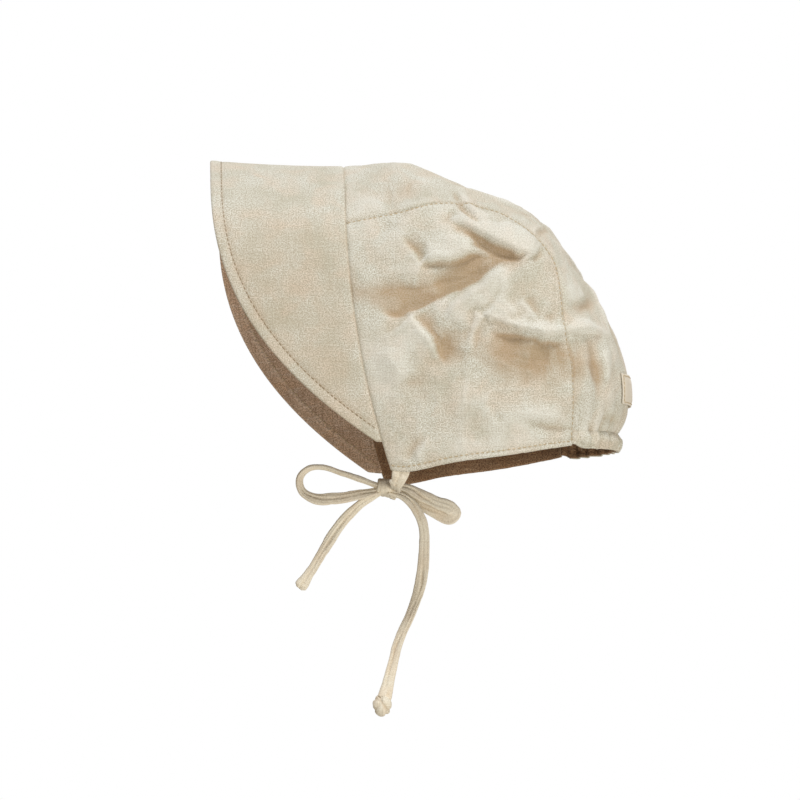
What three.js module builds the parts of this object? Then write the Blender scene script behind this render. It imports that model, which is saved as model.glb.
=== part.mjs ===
// A reversible baby bonnet as worn: a three-panel crown with a stiff brim, a gathered nape and a chin
// tie. Millimetres, +Z up, the face towards -Y and the wearer's left towards +X. The origin is the
// inside of the crown's top, where the head carries it.
import * as THREE from 'three';

// Cloth.
const CLOTH = 1.0;
const LAYER_GAP = 0.3;
const SEAM_GAP = 0.4;
const LINING_DEPTH = CLOTH + LAYER_GAP;

// Front edge of the crown, where the brim is sewn on.
const FRONT_Y = -32.5;
const FRONT_SWEEP = 25.5;
const FRONT_SWEEP_TOP = -20;
const FRONT_SWEEP_FALL = 157;
const CORNER_Z = -176.5;

// Brim. Its right half is turned a little downwards about a pivot near the cheek, in radians.
const BRIM_DEPTH = 76;
const BRIM_TOP_Z = 5;
const BRIM_END_DEPTH = 1.2;
const BRIM_LIFT = 3.2;
const BRIM_LIFT_REACH = 30;
const BRIM_LEFT = { endZ: -160.5, fall: 168, taper: 2.8, turn: 0 };
const BRIM_RIGHT = { endZ: -170.5, fall: 177, taper: 2.5, turn: 0.07 };
const BRIM_PIVOT = { y: -20, z: -80 };
const BRIM_TURN_START = 0.35;

// Nape casing, gathered on elastic. It takes up the last step of the side panel's back edge.
const CASING_HEIGHT = 10.5;
const CASING_PUFF = 0.8;
const CASING_INSET = 0.8;
const CASING_REACH = 0.985;
const CASING_GATHERS = 13;
const CASING_GATHER_DEPTH = 1.1;

// Label at the centre back, as steps of the center panel's grid: each way from the middle, and down.
const LABEL_REACH_STEPS = 2;
const LABEL_FIRST_STEP = 26;
const LABEL_STEPS_DOWN = 2;
const LABEL_THICKNESS = 0.8;

// Tie: a narrow sewn tube of the outer cloth, pressed flat.
const TIE_WIDTH = 4.6;
const TIE_THICKNESS = 3.2;
const TIE_SIDES = 8;
const TIE_ROOT = { y: -3, topZ: -177.8, width: 9, height: 7.4, thickness: 2.6, corner: 1 };
const BOW_KNOT = { center: [0, -9, -182], radii: [6, 4.8, 4.8] };
const TAIL_KNOTS = [
  { name: 'tail_knot_front', center: [-2.6, -54.4, -236], radii: [3.4, 3.8, 3.9] },
  { name: 'tail_knot_back', center: [3.4, -10.1, -306], radii: [5.2, 5.5, 5.6] },
];
const KNOT_SIDES = 10;
const KNOT_RINGS = 7;

// Grid steps of the cloth pieces.
const STEPS_SIDE_ALONG = 17;
const STEPS_SIDE_DOWN = 14;
const STEPS_CENTER_ACROSS = 10;
const STEPS_BRIM_AROUND = 26;
const STEPS_BRIM_OUT = 5;
const STEPS_CASING_AROUND = 52;
const STEPS_CASING_DOWN = 3;

// How the grids spread, and the small steps that slopes are taken over. The corner spread opens the
// side panel's grid where its top and back edges run smoothly into each other.
const CORNER_SPREAD = new THREE.Vector3(0, -640, -1000);
const CENTER_TURN = 1.2;
const BRIM_SPREAD = 1.6;
const FOLD_FADE = 30;
const SHARE_STEP = 0.005;
const SLOPE_STEP = 0.5;

// The crown's outline on the middle plane, from the brim seam to the nape. turn is how far inside the
// outline the cloth has turned from the top of the crown to its side.
const PROFILE = [
  { y: -32.5, z: 1.5, turn: 60 },
  { y: 6, z: 2.5, turn: 54 },
  { y: 26, z: -5.2, turn: 44 },
  { y: 54, z: -16.6, turn: 35 },
  { y: 80, z: -28.6, turn: 32 },
  { y: 93, z: -44.5, turn: 33 },
  { y: 102, z: -59, turn: 38 },
  { y: 112, z: -74, turn: 47 },
  { y: 125, z: -101, turn: 54 },
  { y: 130.5, z: -126, turn: 56 },
  { y: 129, z: -143, turn: 55 },
  { y: 124, z: -151.5, turn: 53 },
];

// The seam between a side panel and the center panel, in side view: over the top, then down the back.
const SEAM = [
  { y: -32.3, z: -36.5 },
  { y: -4, z: -31 },
  { y: 20, z: -25 },
  { y: 40, z: -25.5 },
  { y: 58, z: -31.5 },
  { y: 74, z: -44 },
  { y: 86, z: -58 },
  { y: 90, z: -78 },
  { y: 92, z: -98 },
  { y: 96, z: -116 },
  { y: 96.5, z: -136 },
  { y: 96, z: -161.5 },
];
const SEAM_CORNER = 0.49;

// The hem of a side panel, from the front corner to the casing.
const HEM = [
  { y: -7.1, z: CORNER_Z },
  { y: 2, z: -177.4 },
  { y: 28, z: -172.2 },
  { y: 60, z: -167.8 },
  { y: 95.8, z: -161.5 },
];

// Half widths of the crown: under the top, at the cheek and at the hem.
const WIDTH_HEIGHTS = [0, -85, -175];
const WIDTHS = [
  { y: -33, halfWidths: [54, 57, 46] },
  { y: 45, halfWidths: [60, 63, 56] },
  { y: 125, halfWidths: [56, 55, 36] },
];

// Soft folds of each side: a ridge where the height is positive, a valley where it is negative.
const FOLDS_LEFT = [
  { name: 'upper ridge', from: [26, -37], to: [67, -54], reach: 5, height: 3.6 },
  { name: 'hollow under the upper ridge', from: [24, -48], to: [64, -64], reach: 7, height: -3.4 },
  { name: 'slanting ridge', from: [14, -98], to: [54, -63], reach: 7, height: 2.4 },
  { name: 'valley behind the brim', from: [-28, -78], to: [2, -84], reach: 7, height: -2.6 },
  { name: 'edge of the lower puff', from: [-24, -96], to: [14, -104], reach: 9, height: 2.2 },
  { name: 'back ridge', from: [46, -94], to: [104, -96], reach: 5, height: 3 },
  { name: 'hollow under the back ridge', from: [46, -108], to: [88, -110], reach: 9, height: -3.4 },
  { name: 'fold above the hem', from: [58, -148], to: [90, -152], reach: 6, height: 1.6 },
  { name: 'groove above the corner', from: [3, -158], to: [1, -174], reach: 4, height: -1.6 },
];
const FOLDS_RIGHT = [
  { name: 'upper ridge', from: [18, -42], to: [60, -50], reach: 6, height: 2.6 },
  { name: 'hollow under the upper ridge', from: [22, -56], to: [58, -66], reach: 9, height: -2.8 },
  { name: 'slanting ridge', from: [-8, -108], to: [44, -78], reach: 8, height: 2.2 },
  { name: 'back ridge', from: [50, -104], to: [98, -98], reach: 6, height: 2.4 },
  { name: 'lower hollow', from: [30, -124], to: [78, -128], reach: 10, height: -2.6 },
  { name: 'fold above the hem', from: [20, -158], to: [60, -154], reach: 7, height: 1.6 },
];

// Routes of the tie's stretches, from the corner of the crown or the knot outwards.
const TIE_ROUTES = [
  {
    name: 'tie_left',
    steps: 5,
    route: [[49, -4.9, -182.7], [36, -3.6, -184.8], [20, -3, -184.2], [5.1, -5.1, -181.9]],
  },
  {
    name: 'tie_right',
    steps: 5,
    route: [[-49.7, -4.8, -182.7], [-36, -6.4, -186.4], [-20, -8.2, -186.4], [-6.1, -9, -183.3]],
  },
  {
    name: 'bow_loop_front',
    steps: 22,
    route: [
      [2.4, -13.8, -180.9], [2.4, -25, -177], [2.4, -35, -173.7], [2.4, -44, -171], [2.4, -52, -171.8],
      [2.4, -57, -177], [2.4, -55.6, -184.6], [2.4, -48, -189], [2.4, -36, -188.6], [2.4, -25, -187],
      [2.4, -13.5, -184.7],
    ],
  },
  {
    name: 'bow_loop_back',
    steps: 18,
    route: [
      [-0.4, -4, -180.7], [-0.4, 4, -182.2], [-0.4, 11, -185.4], [-0.8, 22, -190.4], [-1.6, 28.6, -193.4],
      [-2.6, 31.2, -196.6], [-3.6, 28.4, -199.4], [-4.2, 21, -197], [-4.4, 12, -192.6], [-4.4, 4, -188],
      [-4.1, -4.9, -184.1],
    ],
  },
  {
    name: 'tie_tail_front',
    steps: 8,
    route: [
      [-2.6, -12.7, -185.4], [-2.6, -20.6, -190.2], [-2.6, -27, -195.6], [-2.6, -33.4, -202.6],
      [-2.6, -38.8, -210.4], [-2.6, -44, -219], [-2.6, -49, -227.4], [-2.6, -52.4, -232.4],
    ],
  },
  {
    name: 'tie_tail_back',
    steps: 15,
    route: [
      [3.4, -5.1, -185.2], [3.4, 2, -187.8], [3.4, 7.8, -193.2], [3.4, 11.8, -200], [3.4, 13.6, -207.4],
      [3.4, 13.6, -218], [3.4, 12.6, -231], [3.4, 10, -243], [3.4, 5.8, -254.6], [3.4, 1.4, -264],
      [3.4, -2, -273.6], [3.4, -4.4, -283.4], [3.4, -6.6, -292.6], [3.4, -8.6, -300.5],
    ],
  },
];

const cream = { color: 0xddd3bd, roughness: 0.9, metalness: 0 };
const brown = { color: 0x8f7663, roughness: 0.9, metalness: 0 };
const tape = { color: 0xe2d8c3, roughness: 0.85, metalness: 0 };

const bonnet = new THREE.Group();

/** Adds a closed geometry to the bonnet as a named mesh. */
function addPiece(name, geometry, finish) {
  const mesh = new THREE.Mesh(geometry, new THREE.MeshStandardMaterial(finish));
  mesh.name = name;
  bonnet.add(mesh);
}

/** A smooth curve in side view through a table's points, as a function of 0 to 1 along its length. */
function sideCurve(rows) {
  const curve = new THREE.CatmullRomCurve3(
    rows.map((row) => new THREE.Vector3(0, row.y, row.z)),
    false,
    'centripetal',
  );
  return (along) => curve.getPointAt(THREE.MathUtils.clamp(along, 0, 1));
}

/** The value at x of the parabola through three columns. */
function parabola(xs, values, x) {
  return values.reduce((sum, value, i) => {
    const others = xs.filter((_, j) => j !== i);
    return sum + value * others.reduce((share, other) => share * (x - other) / (xs[i] - other), 1);
  }, 0);
}

/** A grid of shared vertices with four sides, thickened into one closed wall. */
function clothWall(surface, stepsU, stepsV, outside, inside) {
  const columns = stepsU + 1;
  const layer = columns * (stepsV + 1);
  const vertices = [];
  const triangles = [];
  const at = (side, u, v) => side * layer + v * columns + u;
  const addQuad = (a, b, c, d) => triangles.push(a, b, c, a, c, d);
  for (const offset of [outside, inside]) {
    for (let v = 0; v <= stepsV; v += 1) {
      for (let u = 0; u <= stepsU; u += 1) {
        const { point, normal } = surface(u / stepsU, v / stepsV);
        vertices.push(...point.addScaledVector(normal, offset));
      }
    }
  }
  for (let v = 0; v < stepsV; v += 1) {
    for (let u = 0; u < stepsU; u += 1) {
      addQuad(at(0, u, v), at(0, u + 1, v), at(0, u + 1, v + 1), at(0, u, v + 1));
      addQuad(at(1, u, v), at(1, u, v + 1), at(1, u + 1, v + 1), at(1, u + 1, v));
    }
  }
  for (let u = 0; u < stepsU; u += 1) {
    addQuad(at(0, u, 0), at(1, u, 0), at(1, u + 1, 0), at(0, u + 1, 0));
    addQuad(at(0, u, stepsV), at(0, u + 1, stepsV), at(1, u + 1, stepsV), at(1, u, stepsV));
  }
  for (let v = 0; v < stepsV; v += 1) {
    addQuad(at(0, 0, v), at(0, 0, v + 1), at(1, 0, v + 1), at(1, 0, v));
    addQuad(at(0, stepsU, v), at(1, stepsU, v), at(1, stepsU, v + 1), at(0, stepsU, v + 1));
  }
  const geometry = new THREE.BufferGeometry();
  geometry.setAttribute('position', new THREE.Float32BufferAttribute(vertices, 3));
  geometry.setIndex(triangles);
  return geometry;
}

/** Gives a surface of points its unit normals, from small steps along both directions. */
function withNormals(surface) {
  const change = (u, v, du, dv) => {
    const ahead = surface(Math.min(u + du, 1), Math.min(v + dv, 1));
    return ahead.sub(surface(Math.max(u - du, 0), Math.max(v - dv, 0)));
  };
  return (u, v) => ({
    point: surface(u, v),
    normal: change(u, v, SHARE_STEP, 0).cross(change(u, v, 0, SHARE_STEP)).normalize(),
  });
}

const profileCurve = sideCurve(PROFILE);
const PROFILE_STRETCHES = 240;
const profilePoints = Array.from(
  { length: PROFILE_STRETCHES + 1 },
  (_, i) => profileCurve(i / PROFILE_STRETCHES),
);

/** The nearest place on the profile to a place in side view: its share along, and how far inside. */
function nearestOnProfile(y, z) {
  let best = { along: 0, away: Infinity, inside: 0 };
  for (let i = 0; i < PROFILE_STRETCHES; i += 1) {
    const start = profilePoints[i];
    const end = profilePoints[i + 1];
    const [runY, runZ] = [end.y - start.y, end.z - start.z];
    const share = ((y - start.y) * runY + (z - start.z) * runZ) / (runY ** 2 + runZ ** 2);
    const reach = THREE.MathUtils.clamp(share, 0, 1);
    const [awayY, awayZ] = [y - start.y - reach * runY, z - start.z - reach * runZ];
    const away = Math.hypot(awayY, awayZ);
    if (away < best.away) {
      const isInside = awayY * runZ - awayZ * runY > 0;
      best = { along: (i + reach) / PROFILE_STRETCHES, away, inside: isInside ? away : -away };
    }
  }
  return best;
}

const rowPlaces = PROFILE.map((row) => nearestOnProfile(row.y, row.z).along);

/** The turn distance at a share along the profile, eased between the table's rows. */
function turnAt(along) {
  const next = Math.max(1, rowPlaces.findIndex((place) => place >= along));
  const share = THREE.MathUtils.smoothstep(along, rowPlaces[next - 1], rowPlaces[next]);
  return THREE.MathUtils.lerp(PROFILE[next - 1].turn, PROFILE[next].turn, share);
}

/** The square of the crown's smooth half width: nothing on the outline, negative outside it. */
function smoothSquare(y, z) {
  const { along, inside } = nearestOnProfile(y, z);
  const full = parabola(
    WIDTHS.map((row) => row.y),
    WIDTHS.map((row) => parabola(WIDTH_HEIGHTS, row.halfWidths, z)),
    y,
  );
  const share = Math.min(inside / turnAt(along), 1);
  return full ** 2 * (1 - (1 - share) ** 2);
}

/** The height of one fold at a place in side view: full along its line, fading around it. */
function foldHeight(fold, y, z) {
  const [fromY, fromZ] = fold.from;
  const [toY, toZ] = fold.to;
  const length = Math.hypot(toY - fromY, toZ - fromZ);
  const along = ((y - fromY) * (toY - fromY) + (z - fromZ) * (toZ - fromZ)) / length ** 2;
  const nearest = THREE.MathUtils.clamp(along, 0, 1);
  const awayY = y - THREE.MathUtils.lerp(fromY, toY, nearest);
  const awayZ = z - THREE.MathUtils.lerp(fromZ, toZ, nearest);
  return fold.height * Math.exp(-(awayY ** 2 + awayZ ** 2) / (2 * fold.reach ** 2));
}

/** The square of the crown's half width on one side, with that side's folds. */
function foldedSquare(y, z, side) {
  const square = smoothSquare(y, z);
  if (square <= 0) {
    return square;
  }
  const folds = side > 0 ? FOLDS_LEFT : FOLDS_RIGHT;
  const folded = folds.reduce((sum, fold) => sum + foldHeight(fold, y, z), 0);
  const fade = THREE.MathUtils.smoothstep(nearestOnProfile(y, z).inside, 0, FOLD_FADE);
  return (Math.sqrt(square) + folded * fade) ** 2;
}

/** A point of the crown and its normal, on side +1 for the wearer's left or -1 for the right. */
function crownFrame(y, z, side) {
  const halfWidth = Math.sqrt(Math.max(foldedSquare(y, z, side), 0));
  const slopeY = foldedSquare(y + SLOPE_STEP, z, side) - foldedSquare(y - SLOPE_STEP, z, side);
  const slopeZ = foldedSquare(y, z + SLOPE_STEP, side) - foldedSquare(y, z - SLOPE_STEP, side);
  const scale = -1 / (4 * SLOPE_STEP);
  return {
    point: new THREE.Vector3(side * halfWidth, y, z),
    normal: new THREE.Vector3(side * halfWidth, slopeY * scale, slopeZ * scale).normalize(),
  };
}

/** Where the brim seam lies in side view at a height. */
function frontY(z) {
  const fall = Math.max(0, (FRONT_SWEEP_TOP - z) / FRONT_SWEEP_FALL);
  return FRONT_Y + FRONT_SWEEP * fall ** 2;
}

const seamCurve = sideCurve(SEAM);
const hemCurve = sideCurve(HEM);
const STEPS_CENTER_ALONG = STEPS_SIDE_ALONG + STEPS_SIDE_DOWN - 1;

/** The panel seam in side view at a share of its length, moved towards the side panel. */
function seamAt(share, inwards) {
  const ahead = seamCurve(share + SHARE_STEP).sub(seamCurve(share - SHARE_STEP)).normalize();
  return seamCurve(share).add(new THREE.Vector3(0, ahead.z, -ahead.y).multiplyScalar(inwards));
}

/** A side panel's edge along the top of the crown, from the brim back. */
function seamTop(along) {
  return seamAt(along * SEAM_CORNER, SEAM_GAP / 2);
}

/** A side panel's edge down the back of the crown. */
function seamBack(down) {
  return seamAt(SEAM_CORNER + down * (1 - SEAM_CORNER), SEAM_GAP / 2);
}

/** A side panel's front edge, behind the brim. */
function seamFront(down) {
  const z = THREE.MathUtils.lerp(SEAM[0].z, CORNER_Z, down);
  return new THREE.Vector3(0, frontY(z) + SEAM_GAP / 2, z);
}

/** A place in a side panel in side view, blended between its four edges. */
function sidePanelPlace(along, down) {
  const spread = along ** 3 * (1 - along) * (1 - down) ** 3 * down;
  const parts = [
    [CORNER_SPREAD, spread],
    [seamFront(down), 1 - along],
    [seamBack(down), along],
    [seamTop(along), 1 - down],
    [hemCurve(along), down],
    [seamTop(0), -(1 - along) * (1 - down)],
    [seamTop(1), -along * (1 - down)],
    [hemCurve(0), -(1 - along) * down],
    [hemCurve(1), -along * down],
  ];
  return parts.reduce((sum, [place, share]) => sum.addScaledVector(place, share), new THREE.Vector3());
}

/** A side panel's surface. It runs forward on the left and back on the right, to face outwards. */
function sidePanel(side) {
  return (u, v) => {
    const place = sidePanelPlace(side > 0 ? 1 - u : u, v);
    return crownFrame(place.y, place.z, side);
  };
}

/** The share of the panel seam's length at a share along the center panel's edge. */
function seamShare(along) {
  const step = along * STEPS_CENTER_ALONG;
  return step < STEPS_SIDE_ALONG
    ? SEAM_CORNER * step / STEPS_SIDE_ALONG
    : SEAM_CORNER + (1 - SEAM_CORNER) * (step - STEPS_SIDE_ALONG) / STEPS_SIDE_DOWN;
}

/** The center panel's surface: across from -1 on the right seam to 1 on the left, and along. */
function centerFrame(across, along) {
  const away = (1 - Math.cos(across * CENTER_TURN)) / (1 - Math.cos(CENTER_TURN));
  const place = profileCurve(along).lerp(seamAt(seamShare(along), -SEAM_GAP / 2), away);
  return crownFrame(Math.max(place.y, FRONT_Y + SEAM_GAP / 2), place.z, Math.sign(across));
}

/** The center panel, from the brim to the casing. */
function centerPanel(u, v) {
  return centerFrame(2 * u - 1, v);
}

/** The nape casing: the crown's lower edge carried down and drawn into gathers. */
function casing(u, v) {
  const across = (2 * u - 1) * CASING_REACH;
  const { point, normal } = centerFrame(across, 1);
  const outwards = normal.setZ(0).normalize();
  const gather = CASING_GATHER_DEPTH * Math.cos(across * CASING_GATHERS * Math.PI);
  point.addScaledVector(outwards, Math.sin(v * Math.PI) * (CASING_PUFF + gather) - CASING_INSET);
  point.z -= SEAM_GAP + v * CASING_HEIGHT;
  return point;
}

/** The brim, from its outer edge back to the seam. */
function brim(u, v) {
  const around = 2 * u - 1;
  const { endZ, fall, taper, turn } = around > 0 ? BRIM_LEFT : BRIM_RIGHT;
  const seamZ = THREE.MathUtils.lerp(PROFILE[0].z, endZ, Math.abs(around) ** BRIM_SPREAD);
  const { x, y, z } = crownFrame(frontY(seamZ), seamZ, Math.sign(around)).point;
  const depth = Math.max(BRIM_END_DEPTH, BRIM_DEPTH * (1 - ((BRIM_TOP_Z - seamZ) / fall) ** taper));
  const out = 1 - v;
  const flatY = y - SEAM_GAP / 2 - out * depth;
  const flatZ = z + BRIM_LIFT * out ** 3 * Math.exp(-((x / BRIM_LIFT_REACH) ** 2));
  const turned = turn * out * THREE.MathUtils.smoothstep(Math.abs(around), 0, BRIM_TURN_START);
  const [awayY, awayZ] = [flatY - BRIM_PIVOT.y, flatZ - BRIM_PIVOT.z];
  return new THREE.Vector3(x, flatY + turned * awayZ, flatZ + turned * awayY);
}

/** The label, lying on the center panel at the back. */
function label(u, v) {
  const across = (2 * u - 1) * 2 * LABEL_REACH_STEPS / STEPS_CENTER_ACROSS;
  return centerFrame(across, (LABEL_FIRST_STEP + v * LABEL_STEPS_DOWN) / STEPS_CENTER_ALONG);
}

/** A rounded rectangle in its own plane. */
function roundedRectangle(width, height, corner) {
  const shape = new THREE.Shape();
  const right = width / 2 - corner;
  const top = height / 2 - corner;
  shape.absarc(right, top, corner, 0, Math.PI / 2);
  shape.absarc(-right, top, corner, Math.PI / 2, Math.PI);
  shape.absarc(-right, -top, corner, Math.PI, 1.5 * Math.PI);
  shape.absarc(right, -top, corner, 1.5 * Math.PI, 2 * Math.PI);
  return shape;
}

/** The folded end of the tie, sewn under the front corner of a side panel. */
function tieRoot(side) {
  const { width, height, corner, thickness, y, topZ } = TIE_ROOT;
  const shape = roundedRectangle(width, height, corner);
  const geometry = new THREE.ExtrudeGeometry(shape, { depth: thickness, bevelEnabled: false, curveSegments: 2 });
  geometry.rotateX(Math.PI / 2);
  geometry.rotateZ(Math.PI / 2);
  const cornerX = crownFrame(y, CORNER_Z, side).point.x * side;
  const x = side > 0 ? cornerX - thickness : -cornerX;
  geometry.translate(x, y, topZ - height / 2);
  return geometry;
}

/** A flattened tube along a route. */
function tieTube(route, steps) {
  const section = new THREE.Shape(
    Array.from({ length: TIE_SIDES }, (_, i) => {
      const angle = (i + 0.5) * 2 * Math.PI / TIE_SIDES;
      return new THREE.Vector2(Math.cos(angle) * TIE_WIDTH / 2, Math.sin(angle) * TIE_THICKNESS / 2);
    }),
  );
  const extrudePath = new THREE.CatmullRomCurve3(route.map((point) => new THREE.Vector3(...point)));
  return new THREE.ExtrudeGeometry(section, { steps, extrudePath, bevelEnabled: false });
}

/** A rounded knot. */
function knot({ center, radii }) {
  const geometry = new THREE.SphereGeometry(1, KNOT_SIDES, KNOT_RINGS);
  geometry.rotateX(Math.PI / 2);
  geometry.scale(...radii);
  geometry.translate(...center);
  return geometry;
}

/** Adds a cloth surface twice: the cream wall outside and the brown one 0.3 mm under it. */
function addReversible(outerName, liningName, surface, stepsU, stepsV) {
  addPiece(outerName, clothWall(surface, stepsU, stepsV, 0, -CLOTH), cream);
  const inside = -LINING_DEPTH - CLOTH;
  addPiece(liningName, clothWall(surface, stepsU, stepsV, -LINING_DEPTH, inside), brown);
}

/** Adds the three panels of the crown, the brim, the casing and the label. */
function addCloth() {
  addReversible('crown_side_left', 'lining_side_left', sidePanel(1), STEPS_SIDE_ALONG, STEPS_SIDE_DOWN);
  addReversible('crown_side_right', 'lining_side_right', sidePanel(-1), STEPS_SIDE_ALONG, STEPS_SIDE_DOWN);
  addReversible('crown_center', 'lining_center', centerPanel, STEPS_CENTER_ACROSS, STEPS_CENTER_ALONG);
  addReversible('brim_outer', 'brim_lining', withNormals(brim), STEPS_BRIM_AROUND, STEPS_BRIM_OUT);
  const napeCasing = withNormals(casing);
  addReversible('nape_casing', 'nape_casing_lining', napeCasing, STEPS_CASING_AROUND, STEPS_CASING_DOWN);
  const labelOutside = LAYER_GAP + LABEL_THICKNESS;
  const wovenLabel = clothWall(label, 2 * LABEL_REACH_STEPS, LABEL_STEPS_DOWN, labelOutside, LAYER_GAP);
  addPiece('back_label', wovenLabel, tape);
}

/** Adds the tie: its sewn ends, its stretches to the bow, the loops, the tails and the knots. */
function addTie() {
  addPiece('tie_root_left', tieRoot(1), cream);
  addPiece('tie_root_right', tieRoot(-1), cream);
  addPiece('bow_knot', knot(BOW_KNOT), cream);
  for (const { name, route, steps } of TIE_ROUTES) {
    addPiece(name, tieTube(route, steps), cream);
  }
  for (const tailKnot of TAIL_KNOTS) {
    addPiece(tailKnot.name, knot(tailKnot), cream);
  }
}

addCloth();
addTie();

export default bonnet;
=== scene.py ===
"""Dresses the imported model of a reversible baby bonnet: cream linen-cotton outside, brown inside.

The cloth is worked out in millimetres on the crown's own form and written to the meshes in metres.
+Z is up, the face looks towards -Y and the wearer's left is +X.
"""

import logging
import math
from collections.abc import Callable, Sequence
from dataclasses import dataclass, field
from enum import Enum

import bpy
import numpy as np
from mathutils import Matrix, Vector

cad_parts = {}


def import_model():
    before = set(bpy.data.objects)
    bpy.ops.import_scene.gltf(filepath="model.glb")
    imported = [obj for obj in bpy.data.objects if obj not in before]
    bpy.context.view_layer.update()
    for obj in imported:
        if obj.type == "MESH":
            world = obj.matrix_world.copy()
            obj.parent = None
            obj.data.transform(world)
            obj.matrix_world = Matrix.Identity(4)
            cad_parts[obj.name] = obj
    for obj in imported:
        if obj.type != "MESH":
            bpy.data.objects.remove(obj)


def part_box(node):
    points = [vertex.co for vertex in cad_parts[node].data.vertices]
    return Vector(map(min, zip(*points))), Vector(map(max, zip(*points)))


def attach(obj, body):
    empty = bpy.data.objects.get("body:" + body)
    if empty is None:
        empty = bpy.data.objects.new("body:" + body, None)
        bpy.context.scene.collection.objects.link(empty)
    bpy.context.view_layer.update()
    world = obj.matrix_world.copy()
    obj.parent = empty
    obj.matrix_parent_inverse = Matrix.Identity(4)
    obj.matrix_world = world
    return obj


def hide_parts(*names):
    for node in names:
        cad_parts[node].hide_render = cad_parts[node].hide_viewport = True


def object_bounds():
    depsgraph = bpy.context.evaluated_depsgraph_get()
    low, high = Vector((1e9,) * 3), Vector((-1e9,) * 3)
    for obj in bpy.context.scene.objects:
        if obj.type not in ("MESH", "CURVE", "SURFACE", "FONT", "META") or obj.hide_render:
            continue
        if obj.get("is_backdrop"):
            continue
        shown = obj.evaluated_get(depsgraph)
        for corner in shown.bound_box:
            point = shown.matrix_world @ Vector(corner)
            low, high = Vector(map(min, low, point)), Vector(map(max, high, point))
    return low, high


Array = np.ndarray
Place = tuple[float, float]
Point = tuple[float, float, float]

log = logging.getLogger("bonnet")

MM = 0.001
BODY = "root"


class Side(Enum):
    """A side of the bonnet, as the wearer has it."""

    LEFT = 1
    RIGHT = -1


class Layer(Enum):
    """The two cloths of the bonnet."""

    OUTER = "outer"
    LINING = "lining"


# ---- Small sums ----


def ease(value: Array, low: float, high: float) -> Array:
    """Runs smoothly from 0 at low to 1 at high."""
    share = np.clip((value - low) / (high - low), 0.0, 1.0)
    return share * share * (3.0 - 2.0 * share)


def bell(distance: Array, reach: float | Array) -> Array:
    """A bell curve: 1 at no distance, fading over reach."""
    return np.exp(-0.5 * (distance / reach) ** 2)


def unit(vectors: Array) -> Array:
    """Vectors at length one."""
    return vectors / np.maximum(np.linalg.norm(vectors, axis=-1, keepdims=True), 1e-12)


def arc_lengths(line: Array) -> Array:
    """How far each point of a line lies along it."""
    return np.concatenate([[0.0], np.cumsum(np.linalg.norm(np.diff(line, axis=0), axis=1))])


def read_line(at: Array | float, along: Array, line: Array) -> Array:
    """Places on a line of points, their coordinates last, read where each point lies at its along."""
    return np.stack([np.interp(at, along, line[:, k]) for k in range(line.shape[1])], axis=-1)


def smooth_line(points: Sequence[Sequence[float]], steps: int) -> Array:
    """A centripetal Catmull-Rom line through points, evenly spaced along its length.

    Args:
        points: the places that it passes through, in two or three dimensions.
        steps: how many stretches it is cut into.

    Returns:
        steps + 1 places along it.
    """
    knots = np.array(points, float)
    last = len(knots) - 1
    ends = np.vstack([2 * knots[0] - knots[1], knots, 2 * knots[-1] - knots[-2]])
    time = np.linspace(0, last, 24 * last * max(1, steps // (8 * last)) + 1)
    first = np.minimum(time.astype(int), last - 1)
    share = (time - first)[:, None]
    before, start, end, after = (ends[first + i] for i in range(4))

    def gap(a: Array, b: Array) -> Array:
        """The centripetal step between two rows of points."""
        return np.sqrt(np.linalg.norm(a - b, axis=1))[:, None] + 1e-9

    one, two, three = gap(before, start), gap(start, end), gap(end, after)
    leave = ((start - before) / one - (end - before) / (one + two) + (end - start) / two) * two
    arrive = ((end - start) / two - (after - start) / (two + three) + (after - end) / three) * two
    line = (
        start
        + leave * share
        + (3 * (end - start) - 2 * leave - arrive) * share**2
        + (2 * (start - end) + leave + arrive) * share**3
    )
    along = arc_lengths(line)
    return read_line(np.linspace(0, along[-1], steps + 1), along, line)


def graded(length: float, step: float, close: Sequence[float], ends: tuple[bool, bool]) -> Array:
    """Shares of a length: evenly spaced, with more of them close to the ends that need them.

    Args:
        length: the length in millimetres.
        step: the even step in millimetres.
        close: the distances from an end that get a place of their own.
        ends: whether the first and the last end get them.

    Returns:
        The shares, from 0 to 1.
    """
    low = list(close) if ends[0] else [0.0]
    high = [length - distance for distance in reversed(close)] if ends[1] else [length]
    count = max(2, round((high[0] - low[-1]) / step))
    middle = np.linspace(low[-1], high[0], count + 1)[1:-1]
    return np.concatenate([low, middle, high]) / length


def soften(values: Array, reach: float) -> Array:
    """A grid of values blurred both ways.

    Args:
        values: the grid.
        reach: the blur's reach, in steps of the grid.

    Returns:
        The blurred grid.
    """
    span = math.ceil(2.5 * reach)
    weights = bell(np.arange(-span, span + 1), reach)
    weights /= weights.sum()
    for axis in (0, 1):
        wide = np.pad(values, [(span, span) if k == axis else (0, 0) for k in (0, 1)], mode="edge")
        values = np.apply_along_axis(np.convolve, axis, wide, weights, "valid")
    return values


class ClothNoise:
    """Smooth seeded noise in space, from -1 to 1."""

    CELLS = 32

    def __init__(self, seed: int) -> None:
        """Fills the lattice."""
        self.lattice = np.random.default_rng(seed).random((self.CELLS,) * 3) * 2 - 1

    def at(self, points: Array, size: float | Sequence[float]) -> Array:
        """The noise at points.

        Args:
            points: places in millimetres.
            size: the size of a swell in millimetres, the same or one for each axis.

        Returns:
            One value for each point.
        """
        scaled = points / np.asarray(size)
        cell = np.floor(scaled).astype(int)
        share = scaled - cell
        share = share * share * (3 - 2 * share)
        total = np.zeros(points.shape[:-1])
        for corner in range(8):
            step = np.array([corner & 1, corner >> 1 & 1, corner >> 2 & 1])
            index = (cell + step) % self.CELLS
            weight = np.prod(np.where(step, share, 1 - share), axis=-1)
            total += weight * self.lattice[index[..., 0], index[..., 1], index[..., 2]]
        return total


# ---- The crown's form ----


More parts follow.
